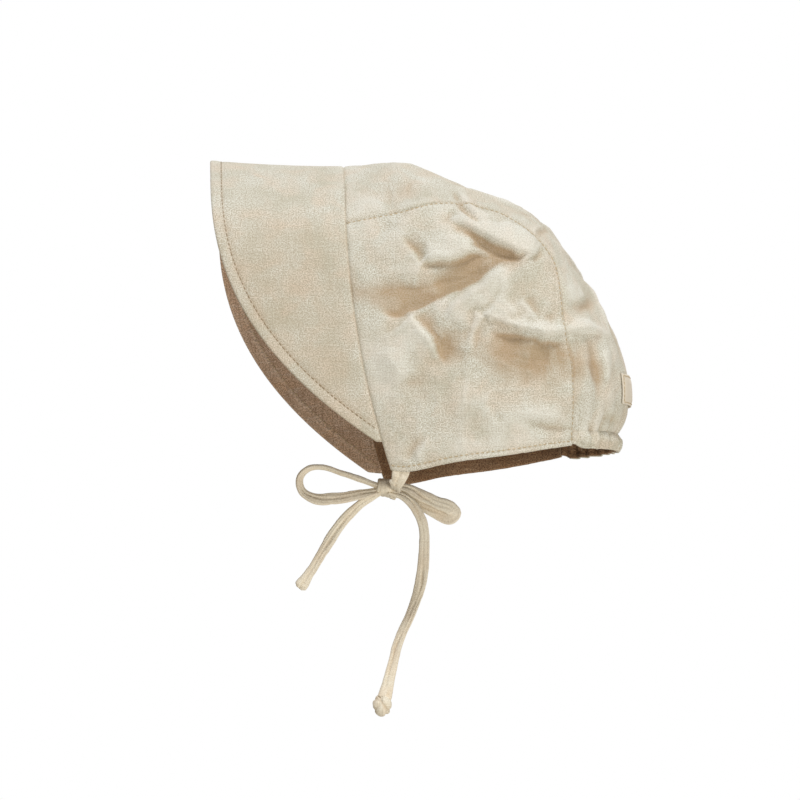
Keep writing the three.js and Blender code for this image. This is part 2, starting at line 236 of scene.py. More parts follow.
@dataclass(frozen=True)
class OutlineRow:
    """A place on the crown's outline, and how far inside it the cloth has turned to the side."""

    y: float
    z: float
    turn: float


@dataclass(frozen=True)
class WidthRow:
    """Half widths of the crown at a place along it: under the top, at the cheek and at the hem."""

    y: float
    half: tuple[float, float, float]


OUTLINE = (
    OutlineRow(-32.5, 1.5, 60),
    OutlineRow(6, 2.5, 54),
    OutlineRow(26, -5.2, 44),
    OutlineRow(54, -16.6, 35),
    OutlineRow(80, -28.6, 32),
    OutlineRow(93, -44.5, 33),
    OutlineRow(102, -59, 38),
    OutlineRow(112, -74, 47),
    OutlineRow(125, -101, 54),
    OutlineRow(130.5, -126, 56),
    OutlineRow(129, -143, 55),
    OutlineRow(124, -151.5, 53),
)
SEAM = (
    (-32.3, -36.5), (-4, -31), (20, -25), (40, -25.5), (58, -31.5), (74, -44),
    (86, -58), (90, -78), (92, -98), (96, -116), (96.5, -136), (96, -161.5),
)
HEM = ((-7.1, -176.5), (2, -177.4), (28, -172.2), (60, -167.8), (95.8, -161.5))
WIDTH_HEIGHTS = (0.0, -85.0, -175.0)
WIDTHS = (
    WidthRow(-33, (54, 57, 46)),
    WidthRow(45, (60, 63, 56)),
    WidthRow(125, (56, 55, 36)),
)


@dataclass
class CrownForm:
    """The smooth form under the cloth, in millimetres, read by places in side view."""

    front_y: float = -32.5
    front_sweep: float = 25.5
    sweep_top: float = -20.0
    sweep_fall: float = 157.0
    corner_z: float = -176.5
    seam_corner: float = 0.49
    center_turn: float = 1.2
    side_steps: int = 17
    back_steps: int = 14
    cell: float = 1.0
    eased: float = 3.0
    low: Place = (-52.0, -196.0)
    high: Place = (150.0, 24.0)
    outline: Array = field(init=False)
    seam: Array = field(init=False)
    hem: Array = field(init=False)
    squares: Array = field(init=False)

    STRETCHES = 480
    # How many lots the places are split into while they are measured against the outline.
    CHUNKS = 24
    # The step in millimetres that slopes are read over, and the rounds that close the outline.
    PROBE = 0.5
    ROUNDS = 8

    def __post_init__(self) -> None:
        """Samples the curves and the field of squared half widths."""
        self.outline = smooth_line([(row.y, row.z) for row in OUTLINE], self.STRETCHES)
        self.seam = smooth_line(SEAM, self.STRETCHES)
        self.hem = smooth_line(HEM, self.STRETCHES)
        self.squares = self._eased_squares()
        self.outline = self._closed_outline()

    def _closed_outline(self) -> Array:
        """Moves the outline to where the eased half width is nothing.

        Returns:
            The moved outline, as many places as before.
        """
        line = self.outline.copy()
        for _ in range(self.ROUNDS):
            y, z = line[:, 0], line[:, 1]
            slope = np.stack(self.slopes(y, z), axis=-1)
            line -= slope * (self.square(y, z) / (slope**2).sum(axis=1))[:, None]
        return line

    @staticmethod
    def along(line: Array, share: Array) -> Array:
        """Places on a sampled line at shares of its length."""
        return read_line(np.clip(share, 0, 1), np.linspace(0, 1, len(line)), line)

    def nearest(self, y: Array, z: Array) -> tuple[Array, Array]:
        """Measures places against the outline.

        Args:
            y: places along the crown.
            z: heights.

        Returns:
            The nearest share of the outline, and how far inside it each place lies.
        """
        start, run = self.outline[:-1], np.diff(self.outline, axis=0)
        length = (run**2).sum(axis=1)
        shares, insides = [], []
        for some_y, some_z in zip(np.array_split(y, self.CHUNKS), np.array_split(z, self.CHUNKS)):
            to_y, to_z = some_y[:, None] - start[:, 0], some_z[:, None] - start[:, 1]
            share = np.clip((to_y * run[:, 0] + to_z * run[:, 1]) / length, 0, 1)
            away_y, away_z = to_y - share * run[:, 0], to_z - share * run[:, 1]
            away = np.hypot(away_y, away_z)
            best = away.argmin(axis=1)
            row = np.arange(len(best))
            cross = away_y[row, best] * run[best, 1] - away_z[row, best] * run[best, 0]
            shares.append((best + share[row, best]) / self.STRETCHES)
            insides.append(np.where(cross > 0, 1, -1) * away[row, best])
        return np.concatenate(shares), np.concatenate(insides)

    def _full_width(self, y: Array, z: Array) -> Array:
        """The half width where the cloth has fully turned.

        Args:
            y: places along the crown.
            z: heights.

        Returns:
            The half widths, a parabola both ways.
        """

        def parabola(places: Sequence[float], values: Sequence[Array], at: Array) -> Array:
            """Reads a parabola.

            Args:
                places: three places.
                values: the values there.
                at: the places to read it at.

            Returns:
                The parabola's values.
            """
            total = np.zeros_like(at)
            for i, value in enumerate(values):
                others = [place for j, place in enumerate(places) if j != i]
                total += value * np.prod([(at - o) / (places[i] - o) for o in others], axis=0)
            return total

        rows = [parabola(WIDTH_HEIGHTS, row.half, z) for row in WIDTHS]
        return parabola([row.y for row in WIDTHS], rows, y)

    def _eased_squares(self) -> Array:
        """Works out the squared half widths in side view, eased so that no crease is left in them.

        Returns:
            A grid of them, from low to high.
        """
        ys = np.arange(self.low[0], self.high[0] + self.cell, self.cell)
        zs = np.arange(self.low[1], self.high[1] + self.cell, self.cell)
        y, z = (flat.ravel() for flat in np.meshgrid(ys, zs, indexing="ij"))
        share, inside = self.nearest(y, z)
        knots = self.nearest(np.array([row.y for row in OUTLINE]), np.array([row.z for row in OUTLINE]))[0]
        turns = np.array([row.turn for row in OUTLINE], float)
        following = np.clip(np.searchsorted(knots, share), 1, len(knots) - 1)
        step = ease((share - knots[following - 1]) / np.diff(knots)[following - 1], 0, 1)
        turn = turns[following - 1] * (1 - step) + turns[following] * step
        turned = 1 - np.minimum(inside / turn, 1)
        squares = (self._full_width(y, z) ** 2 * (1 - turned**2)).reshape(len(ys), len(zs))
        return soften(squares, self.eased / self.cell)

    def square(self, y: Array, z: Array) -> Array:
        """The squared half width, read from the grid by a smooth cubic.

        Args:
            y: places along the crown.
            z: heights.

        Returns:
            The squares, below nothing outside the crown.
        """
        across = (y - self.low[0]) / self.cell
        up = (z - self.low[1]) / self.cell
        i = np.clip(across.astype(int), 1, self.squares.shape[0] - 3)
        j = np.clip(up.astype(int), 1, self.squares.shape[1] - 3)

        def weights(share: Array) -> list[Array]:
            """The four weights of a cubic B-spline."""
            return [
                (1 - share) ** 3 / 6,
                (3 * share**3 - 6 * share**2 + 4) / 6,
                (-3 * share**3 + 3 * share**2 + 3 * share + 1) / 6,
                share**3 / 6,
            ]

        total = np.zeros(np.broadcast(y, z).shape)
        for a, weight_y in enumerate(weights(across - i)):
            for b, weight_z in enumerate(weights(up - j)):
                total += weight_y * weight_z * self.squares[i + a - 1, j + b - 1]
        return total

    def slopes(self, y: Array, z: Array) -> tuple[Array, Array]:
        """How fast the squared half width grows.

        Args:
            y: places along the crown.
            z: heights.

        Returns:
            The growth to a millimetre, along the crown and upwards.
        """
        step = self.PROBE
        ahead = (self.square(y + step, z) - self.square(y - step, z)) / (2 * step)
        upwards = (self.square(y, z + step) - self.square(y, z - step)) / (2 * step)
        return ahead, upwards

    def frame(self, y: Array, z: Array, side: Array | float) -> tuple[Array, Array]:
        """Points of the smooth crown and their normals.

        Args:
            y: places along the crown.
            z: heights.
            side: 1 for the wearer's left, -1 for the right.

        Returns:
            The points and the unit normals.
        """
        half = np.sqrt(np.maximum(self.square(y, z), 0))
        slope_y, slope_z = self.slopes(y, z)
        points = np.stack(np.broadcast_arrays(side * half, y, z), axis=-1)
        normals = np.stack(np.broadcast_arrays(side * half, -slope_y / 2, -slope_z / 2), axis=-1)
        return points, unit(normals)

    def front(self, z: Array) -> Array:
        """Where the brim seam lies at a height."""
        fall = np.maximum(0, (self.sweep_top - z) / self.sweep_fall)
        return self.front_y + self.front_sweep * fall**2

    def side_place(self, along: Array, down: Array) -> Array:
        """Places of a side panel in side view, blended between its four edges.

        Args:
            along: shares from the brim to the back.
            down: shares from the top seam to the hem.

        Returns:
            The places, y and z last.
        """
        top = self.along(self.seam, along * self.seam_corner)
        back = self.along(self.seam, self.seam_corner + down * (1 - self.seam_corner))
        front_z = SEAM[0][1] + (self.corner_z - SEAM[0][1]) * down
        front = np.stack([self.front(front_z), front_z], axis=-1)
        low = self.along(self.hem, along)
        a, d = along[..., None], down[..., None]
        corners = (
            (1 - a) * (1 - d) * self.seam[0]
            + a * (1 - d) * self.along(self.seam, np.array(self.seam_corner))
            + (1 - a) * d * self.hem[0]
            + a * d * self.hem[-1]
        )
        spread = a**3 * (1 - a) * (1 - d) ** 3 * d * np.array([-640.0, -1000.0])
        return front * (1 - a) + back * a + top * (1 - d) + low * d - corners + spread

    def center_place(self, across: Array, along: Array) -> Array:
        """Places of the center panel in side view.

        Args:
            across: from -1 on the right to 1 on the left.
            along: shares from the brim to the nape.

        Returns:
            The places, y and z last.
        """
        steps = self.side_steps + self.back_steps - 1
        step = along * steps
        early = self.seam_corner * step / self.side_steps
        late = self.seam_corner + (1 - self.seam_corner) * (step - self.side_steps) / self.back_steps
        away = (1 - np.cos(across * self.center_turn)) / (1 - math.cos(self.center_turn))
        outline = self.along(self.outline, along)
        seam = self.along(self.seam, np.where(step < self.side_steps, early, late))
        place = outline + (seam - outline) * away[..., None]
        return np.stack([np.maximum(place[..., 0], self.front_y), place[..., 1]], axis=-1)

    def center(self, across: Array, along: Array) -> tuple[Array, Array]:
        """Points and normals of the smooth center panel, from -1 on the right to 1 on the left."""
        place = self.center_place(across, along)
        return self.frame(place[..., 0], place[..., 1], np.where(across < 0, -1.0, 1.0))


# ---- Folds ----


@dataclass(frozen=True)
class Fold:
    """A soft fold: a ridge where height is positive, a hollow where it is negative.

    name says which fold it is, for the reader alone. path holds (y, z) places in side view, or shares
    across and along the center panel. above and below are its reach on either side, and fade the
    share of its length that each end fades over.
    """

    name: str
    path: tuple[Place, ...]
    height: float
    above: float
    below: float
    fade: tuple[float, float] = (0.3, 0.3)


FOLDS_LEFT = (
    Fold("tuck over the seam", ((28.5, -16.5), (30.5, -23.5), (34, -30.5), (38, -36), (42.5, -40.5)),
         -3.2, 1.3, 1.4, (0.2, 0.3)),
    Fold("flap of the tuck", ((30.5, -17), (34.5, -24.5), (38, -31), (42, -37)), 1.6, 3.2, 1.2,
         (0.3, 0.3)),
    Fold("left of the tuck", ((27.5, -28.5), (25.5, -34.5), (22, -41)), -1.2, 2.0, 2.4, (0.3, 0.4)),
    Fold("upper flap", ((24.5, -35.5), (35.5, -40.5), (46.5, -44.5), (55, -48), (63, -51.5), (71, -56)),
         2.4, 12.0, 0.9, (0.2, 0.04)),
    Fold("under the upper flap", ((24.5, -37), (31, -40.5), (39.5, -45), (49, -49.5), (58.5, -53.5),
         (67.5, -56.5)), -2.4, 1.1, 4.4, (0.2, 0.08)),
    Fold("deep under the upper flap", ((37, -46.5), (46, -51.5), (55, -55), (64, -57)), -2.2, 5.0, 6.0,
         (0.3, 0.25)),
    Fold("hook", ((67.5, -56), (71, -55), (73.5, -51.5), (75.5, -47.5)), 2.2, 1.2, 1.2, (0.1, 0.4)),
    Fold("behind the hook", ((71, -58.5), (75, -55), (77, -49.5)), -1.8, 1.1, 1.8, (0.15, 0.4)),
    Fold("bent crease", ((0, -42.5), (3, -48), (6.5, -53), (9.5, -58.5)), -2.0, 3.6, 1.3, (0.35, 0.1)),
    Fold("low edge of the bulge", ((9, -56), (16.5, -57.5), (25, -57), (34, -55.5), (43.5, -52)), 1.7,
         5.4, 1.1, (0.15, 0.35)),
    Fold("under the bulge", ((8, -59), (15, -60.5), (24, -60.5), (32.5, -59.5), (41.5, -57),
         (49.5, -55.5)), -2.6, 1.1, 8.0, (0.12, 0.3)),
    Fold("top of the bulge", ((21, -48), (29.5, -47.5), (38, -49)), 1.0, 4.5, 4.5, (0.4, 0.4)),
    Fold("broad valley", ((-29.5, -79), (-18, -78), (-5, -76.5), (9.5, -75), (24, -72.5), (34.5, -69),
         (46.5, -62.5)), -2.3, 5.0, 6.0, (0.45, 0.25)),
    Fold("crease over the puff", ((-15.5, -87), (-8.5, -89.5), (-1, -90), (5, -92.5)), -1.8, 3.4, 1.2,
         (0.35, 0.3)),
    Fold("valley's low crease", ((-13.5, -90), (-3.5, -89), (7, -86), (17.5, -82), (27.5, -77.5),
         (37, -72), (46, -64.5), (54, -57.5)), -2.3, 7.0, 1.0, (0.3, 0.2)),
    Fold("slanting ridge", ((21, -96), (27.5, -88), (34.5, -80.5), (41.5, -75.5), (48.5, -68.5),
         (54.5, -63), (62, -58.5)), 3.0, 1.9, 8.0, (0.25, 0.25)),
    Fold("shade behind the ridge", ((38, -83.5), (39.5, -91.5), (37.5, -100), (33, -107.5)), -1.8, 4.0,
         4.0, (0.3, 0.35)),
    Fold("swell over the back ridge", ((50.5, -80), (58, -84.5), (63, -91.5)), 1.2, 5.0, 5.0,
         (0.35, 0.35)),
    Fold("edge of the puff", ((2, -89), (7, -95), (12, -99.5), (16, -104.5), (18.5, -110.5), (21, -118)),
         2.6, 1.1, 9.0, (0.12, 0.4)),
    Fold("beside the puff", ((4, -89.5), (10, -96), (15, -101), (20, -106.5), (23, -113), (25.5, -120)),
         -1.9, 5.5, 1.2, (0.15, 0.4)),
    Fold("beyond the puff", ((16.5, -101.5), (24.5, -106), (32.5, -106), (40.5, -100.5)), -1.5, 8.0, 8.0,
         (0.4, 0.4)),
    Fold("ridge end", ((46, -90), (42, -95.5), (38.5, -101.5), (37, -108.5), (35, -116.5)), 2.4, 1.2, 4.4,
         (0.1, 0.45)),
    Fold("back ridge", ((45, -89.5), (50.5, -92.5), (57, -95), (63.5, -97), (70.5, -98)), 2.7, 5.6, 1.0,
         (0.15, 0.2)),
    Fold("end of the back ridge", ((66, -99.5), (72, -97.5), (80.5, -97.5), (90.5, -96.5), (100.5, -95),
         (110.5, -95.5), (119, -99)), 3.0, 3.0, 1.5, (0.14, 0.3)),
    Fold("under the back ridge", ((46.5, -97), (55, -100.5), (66.5, -102.5), (78, -103.5), (90.5, -103.5),
         (106.5, -101.5)), -2.4, 1.2, 6.0, (0.12, 0.3)),
    Fold("deep under the back ridge", ((39, -109.5), (54, -113), (71, -115.5), (90.5, -116),
         (112, -118.5)), -2.7, 9.0, 15.0, (0.3, 0.45)),
    Fold("small crease", ((66, -78), (69.5, -84.5), (74, -92)), 1.3, 1.1, 3.2, (0.3, 0.25)),
    Fold("beside the small crease", ((68, -79.5), (72, -85), (76, -91)), -1.2, 3.4, 1.0, (0.3, 0.3)),
    Fold("back panel crease", ((75.5, -88), (83.5, -90), (91.5, -89), (99, -85), (106.5, -80),
         (113, -76.5)), -1.8, 5.0, 2.6, (0.25, 0.25)),
    Fold("over the back panel crease", ((89.5, -82), (97.5, -79), (105.5, -73)), 1.2, 4.0, 2.2,
         (0.35, 0.3)),
    Fold("long back groove", ((99, -96), (105.5, -104), (109, -114), (111, -125.5), (110, -137),
         (107.5, -145)), -2.0, 3.4, 4.0, (0.3, 0.35)),
    Fold("before the back groove", ((97.5, -105.5), (102.5, -113), (104, -124.5), (103, -134.5)), 0.9,
         3.0, 4.6, (0.3, 0.4)),
    Fold("behind the back groove", ((112.5, -104), (115.5, -115.5), (114.5, -129)), 1.3, 3.4, 1.8,
         (0.3, 0.3)),
    Fold("over the hem fold", ((63.5, -145), (78, -146.5), (92.5, -148.5)), 0.8, 4.4, 1.6, (0.4, 0.35)),
    Fold("hem fold", ((65.5, -149), (79, -151), (92.5, -153), (103, -150)), -1.2, 1.1, 2.4, (0.35, 0.25)),
    Fold("low crease", ((47, -135), (50.5, -144), (55, -152.5)), -0.8, 3.0, 2.0, (0.35, 0.4)),
    Fold("corner groove", ((10.5, -155.5), (6, -160.5), (2.5, -165.5), (1, -173)), -1.4, 3.0, 2.6,
         (0.45, 0.3)),
    Fold("beside the corner groove", ((14, -158.5), (9, -163.5), (5.5, -171)), 1.0, 3.4, 1.6,
         (0.35, 0.2)),
    Fold("cheek swell", ((-11, -104), (-5.5, -118.5), (-2, -132.5)), 1.4, 8.0, 6.0, (0.35, 0.35)),
    Fold("low hollow", ((-4, -130), (6.5, -129), (20, -130.5)), -0.8, 4.6, 4.6, (0.35, 0.35)),
    Fold("low swell", ((21, -138), (38, -139), (55, -134.5)), 0.9, 7.0, 7.0, (0.35, 0.35)),
    Fold("over the nape", ((98.5, -148), (103.5, -149), (108.5, -149.5)), -1.5, 1.6, 1.4, (0.25, 0.35)),
    Fold("beside the nape", ((114.5, -141.5), (118.5, -144), (123.5, -147)), -1.5, 1.6, 1.4, (0.3, 0.25)),
    Fold("seam corner crease", ((74.5, -46.5), (78.5, -40.5), (83, -34.5)), -1.6, 1.6, 1.6, (0.2, 0.3)),
    Fold("front dip", ((-13.5, -34), (-9.5, -38.5), (-7, -43.5)), -0.9, 3.4, 3.4, (0.35, 0.35)),
    Fold("brim pucker", ((-21.5, -4), (-22.5, -14), (-24, -27)), -0.7, 5.5, 5.0, (0.45, 0.45)),
    Fold("second brim pucker", ((-9.5, -3), (-8.5, -19.5), (-4.5, -38)), -1.1, 5.5, 4.2, (0.45, 0.45)),
    Fold("third brim pucker", ((4, -3), (3, -17), (0.5, -31)), -0.9, 4.2, 5.2, (0.45, 0.45)),
)
FOLDS_RIGHT = (
    Fold("tuck over the seam", ((36, -18), (40, -26), (45, -34), (49, -41)), -2.4, 1.4, 1.6, (0.3, 0.25)),
    Fold("upper flap", ((24, -42), (34, -45), (45, -48.5), (56, -53), (66, -58)), 3.4, 6.5, 1.1,
         (0.3, 0.1)),
    Fold("under the upper flap", ((26, -46.5), (36, -50), (47, -54), (58, -59), (67, -62.5)), -2.6, 1.2,
         5.5, (0.3, 0.15)),
    Fold("front valley", ((-30, -68), (-16, -71), (-2, -73), (14, -71), (30, -66)), -2.0, 5.0, 4.2,
         (0.1, 0.3)),
    Fold("slanting ridge", ((-12, -112), (4, -104), (20, -94.5), (36, -84), (50, -74), (60, -66)), 3.0,
         3.0, 8.0, (0.25, 0.2)),
    Fold("over the slanting ridge", ((-14, -98), (2, -92), (18, -83), (34, -74), (46, -67)), -2.2, 6.0,
         3.2),
    Fold("behind the slanting ridge", ((28, -108), (40, -99), (52, -89), (61, -79)), -2.2, 4.6, 4.0),
    Fold("back ridge", ((42, -110), (54, -108), (68, -104), (84, -100), (100, -98.5), (112, -101)), 3.2,
         5.0, 1.4, (0.15, 0.25)),
    Fold("under the back ridge", ((44, -116), (58, -115.5), (72, -111.5), (86, -107.5), (98, -105.5)),
         -2.8, 1.6, 7.5, (0.15, 0.2)),
    Fold("puff edge", ((-20, -118), (-8, -121), (4, -127), (12, -135), (17, -145)), 2.4, 1.6, 9.0,
         (0.2, 0.4)),
    Fold("beside the puff", ((-14, -113), (0, -117.5), (10, -124), (18, -133), (22, -143)), -2.0, 5.0,
         1.4, (0.2, 0.35)),
    Fold("lower hollow", ((30, -128), (44, -130), (60, -134)), -1.2, 7.0, 7.0),
    Fold("hem fold", ((24, -157), (42, -155), (62, -152.5), (84, -154)), 1.2, 3.4, 2.2),
    Fold("corner groove", ((2, -142), (5, -154), (1.5, -172)), -1.3, 3.2, 3.0, (0.4, 0.2)),
    Fold("back panel fold", ((102, -84), (108, -97), (110, -112), (107, -128)), 1.6, 3.0, 2.6),
    Fold("short crease", ((70, -70), (76, -78), (79, -87)), -1.5, 1.3, 3.4),
)
FOLDS_CENTER = (
    Fold("front swell", ((-0.55, 0.10), (-0.1, 0.13), (0.45, 0.11)), 0.9, 8, 8),
    Fold("crease across the top", ((-0.7, 0.27), (-0.2, 0.30), (0.2, 0.285), (0.62, 0.26)), -1.0, 2.2,
         3.4),
    Fold("swell behind it", ((-0.5, 0.36), (0.1, 0.38), (0.6, 0.35)), 1.0, 8, 8),
    Fold("crown corner crease", ((-0.75, 0.45), (-0.25, 0.475), (0.3, 0.47), (0.8, 0.44)), -1.1, 2.4, 4),
    Fold("slanting back fold", ((0.7, 0.52), (0.3, 0.58), (-0.15, 0.62), (-0.6, 0.61)), 1.5, 3, 4.5),
    Fold("under the slanting fold", ((0.6, 0.56), (0.2, 0.615), (-0.2, 0.655), (-0.6, 0.65)), -1.3, 3, 4),
    Fold("long back fold", ((-0.2, 0.61), (-0.34, 0.70), (-0.4, 0.79), (-0.36, 0.87)), 1.7, 4.5, 2.6,
         (0.35, 0.35)),
    Fold("beside the long fold", ((-0.04, 0.64), (-0.18, 0.72), (-0.24, 0.80), (-0.2, 0.88)), -1.3, 4.0,
         3.0, (0.35, 0.35)),
    Fold("left back fold", ((0.1, 0.63), (0.3, 0.70), (0.42, 0.79), (0.4, 0.88)), 1.5, 2.8, 4.5,
         (0.35, 0.35)),
    Fold("beside the left back fold", ((0.02, 0.70), (0.18, 0.77), (0.24, 0.86)), -1.2, 3.2, 4.2,
         (0.35, 0.35)),
    Fold("far back fold", ((-0.6, 0.72), (-0.7, 0.82), (-0.64, 0.93)), 1.3, 3.5, 4.5, (0.35, 0.35)),
)


# Painted shade and painted light laid over the folds: tan where the cloth would lie in shade, lighter where
# light falls on it. They change the colour alone and move nothing.
SHADES_LEFT = (
    Fold("under the back ridge", ((38, -118.5), (50.5, -110.5), (66.5, -108.5), (84.5, -109.5),
         (102, -115.5), (116.5, -126.5)), -2.1, 4.5, 15.0, (0.2, 0.2)),
    Fold("low edge of the bulge", ((14, -58.5), (29.5, -59), (45, -58.5), (59.5, -56)), -0.8, 2.4, 7.0,
         (0.25, 0.2)),
    Fold("front of the valley", ((-35, -73), (-21.5, -76.5), (-6.5, -79), (9.5, -79), (24.5, -75.5)),
         -2.0, 6.5, 6.0, (0.1, 0.4)),
    Fold("beyond the puff", ((5, -95), (15, -104), (26.5, -108.5), (39, -110.5), (51.5, -118.5)), -1.5,
         7.5, 5.5, (0.35, 0.35)),
    Fold("beside the back seam", ((110, -105.5), (113, -117.5), (114.5, -131)), -0.5, 4.5, 4.0,
         (0.35, 0.35)),
    Fold("face of the upper flap", ((37, -32.5), (51.5, -38.5), (66.5, -45.5)), -0.8, 5.0, 5.0,
         (0.25, 0.25)),
    Fold("light on the puff", ((-21.5, -96), (-18, -109.5), (-11, -126.5), (-4, -144)), 1.2, 7.0, 7.0,
         (0.3, 0.3)),
    Fold("light on the low side", ((9.5, -157.5), (33.5, -161), (59.5, -159.5), (84.5, -153)), 1.2, 9.0,
         8.0, (0.25, 0.25)),
)
SHADES_RIGHT = (
    Fold("shade of the long ridge", ((2, -92), (22, -88), (44, -80)), -1.6, 5.0, 8.0, (0.3, 0.3)),
    Fold("low shade", ((30, -112), (52, -108), (72, -100)), -1.4, 5.0, 8.0, (0.3, 0.3)),
)


class FoldField:
    """The height of the cloth over the smooth form, by its folds and its crumple, and its painted shade and
    light.
    """

    # In a fold's own reaches: how far round its line it is looked for, and where its height ends.
    LOOK = 3.2
    END = 2.4

    def __init__(self, form: CrownForm) -> None:
        """Lays each fold on the form."""
        self.form = form
        self.noise = ClothNoise(11)
        left, right = float(Side.LEFT.value), float(Side.RIGHT.value)
        self.lines = self.lay(FOLDS_LEFT, left) + self.lay(FOLDS_RIGHT, right) + self.lay(FOLDS_CENTER, None)
        self.shades = self.lay(SHADES_LEFT, left) + self.lay(SHADES_RIGHT, right)

    def lay(self, folds: Sequence[Fold], side: float | None) -> list[tuple[Fold, Array, Array, float]]:
        """Lays folds on the form.

        Args:
            folds: the folds.
            side: 1 for the left panel, -1 for the right one, None for the center one.

        Returns:
            Each fold with the points and normals of its line, and the side that its upper edge takes.
        """
        laid = []
        for fold in folds:
            place = smooth_line(fold.path, 8 * (len(fold.path) - 1))
            if side is None:
                points, normals = self.form.center(place[:, 0], place[:, 1])
            else:
                points, normals = self.form.frame(place[:, 0], place[:, 1], side)
            laid.append((fold, points, normals, side or 1.0))
        return laid

    def _fold_height(self, points: Array, fold: Fold, line: Array, normals: Array, sign: float) -> Array:
        """One fold's height at points near it.

        Args:
            points: the points, one a row.
            fold: the fold.
            line: the points of its line on the form.
            normals: the form's normals there.
            sign: which side its upper edge takes.

        Returns:
            A height for each point.
        """
        reach = self.LOOK * max(fold.above, fold.below)
        low, high = line.min(axis=0) - reach, line.max(axis=0) + reach
        near = np.all((points > low) & (points < high), axis=1)
        heights = np.zeros(len(points))
        some = points[near]
        if not len(some):
            return heights
        start, run = line[:-1], np.diff(line, axis=0)
        share = ((some[:, None] - start) * run).sum(axis=2) / (run**2).sum(axis=1)
        share = np.clip(share, 0, 1)
        away = some[:, None] - start - share[..., None] * run
        best = (away**2).sum(axis=2).argmin(axis=1)
        row = np.arange(len(best))
        offset = away[row, best]
        upwards = np.cross(normals[:-1], unit(run))[best] * sign
        above = (offset * upwards).sum(axis=1) > 0
        distance = np.linalg.norm(offset, axis=1)
        along = (best + share[row, best]) / len(run)
        fade = ease(along, 0, fold.fade[0]) * ease(1 - along, 0, fold.fade[1])
        reach = np.where(above, fold.above, fold.below)
        shape = np.maximum(1 - distance / (self.END * reach), 0) ** 1.5
        uneven = 1 + 0.3 * self.noise.at(some + 400, 9)
        heights[near] = fold.height * shape * fade * uneven
        return heights

    def drift(self, points: Array, size: float) -> Array:
        """A smooth wandering of places, up to one millimetre each way."""
        return np.stack([self.noise.at(points + 500 + 70 * k, size) for k in range(3)], axis=-1)

    def crumple(self, points: Array) -> Array:
        """The soft unevenness of washed linen.

        Args:
            points: points of the smooth form.

        Returns:
            A height for each point.
        """
        swell = 0.6 * self.noise.at(points, 27) + 0.4 * self.noise.at(points + 50, 12)
        crease = 1 - np.abs(self.noise.at(points + 90, (17, 13, 12)))
        mask = ease(self.noise.at(points + 130, 33), -0.1, 0.5)
        return swell + 0.42 * (crease**7 - 0.12) * mask + 0.16 * self.noise.at(points + 150, 7)

    def fine(self, points: Array) -> Array:
        """The smallest unevenness, too fine for the settled grid."""
        crease = 1 - np.abs(self.noise.at(points + 230, (6.5, 5.2, 3.6)))
        crumb = 0.15 * self.noise.at(points + 170, 4.4) + 0.06 * self.noise.at(points + 190, 2.5)
        return crumb + 0.16 * crease**6

    def heights(self, points: Array, hold: Array) -> Array:
        """The cloth's height over the smooth form.

        Args:
            points: points of the smooth form, in any number of rows.
            hold: from 0 where a seam holds the cloth flat to 1 where it is free.

        Returns:
            A height for each point.
        """
        return (self.total(points, self.lines) + self.crumple(points)) * hold

    def total(self, points: Array, lines: list[tuple[Fold, Array, Array, float]]) -> Array:
        """The summed height of laid folds.

        Args:
            points: the points, in any number of rows.
            lines: the folds, as lay gives them.

        Returns:
            A height for each point.
        """
        flat = points.reshape(-1, 3)
        bent = flat + 1.9 * self.drift(flat, 15) + 0.7 * self.drift(flat + 60, 6)
        total = sum(self._fold_height(bent, *line) for line in lines)
        return total.reshape(points.shape[:-1])

    def shade(self, points: Array) -> Array:
        """The painted shade and light at points: below nothing for tan shade, above it for light."""
        return self.total(points, self.shades)


def read_evenly(values: Array, down: Array, across: Array) -> Array:
    """A grid of values at even shares, read at other shares by smooth cubics.

    Args:
        values: the grid, down and across, with any values at each place.
        down: the shares down to read at.
        across: the shares across.

    Returns:
        The values there.
    """
    for axis, shares in ((0, down), (1, across)):
        values = np.moveaxis(values, axis, 0)
        at = shares * (len(values) - 1)
        first = np.minimum(at.astype(int), len(values) - 2)
        t = (at - first).reshape(-1, *[1] * (values.ndim - 1))
        rows = np.concatenate([[2 * values[0] - values[1]], values, [2 * values[-1] - values[-2]]])
        before, start, end, after = (rows[first + k] for k in range(4))
        bend = 2 * before - 5 * start + 4 * end - after
        values = start + 0.5 * t * (end - before + t * (bend + t * (3 * (start - end) + after - before)))
        values = np.moveaxis(values, 0, axis)
    return values


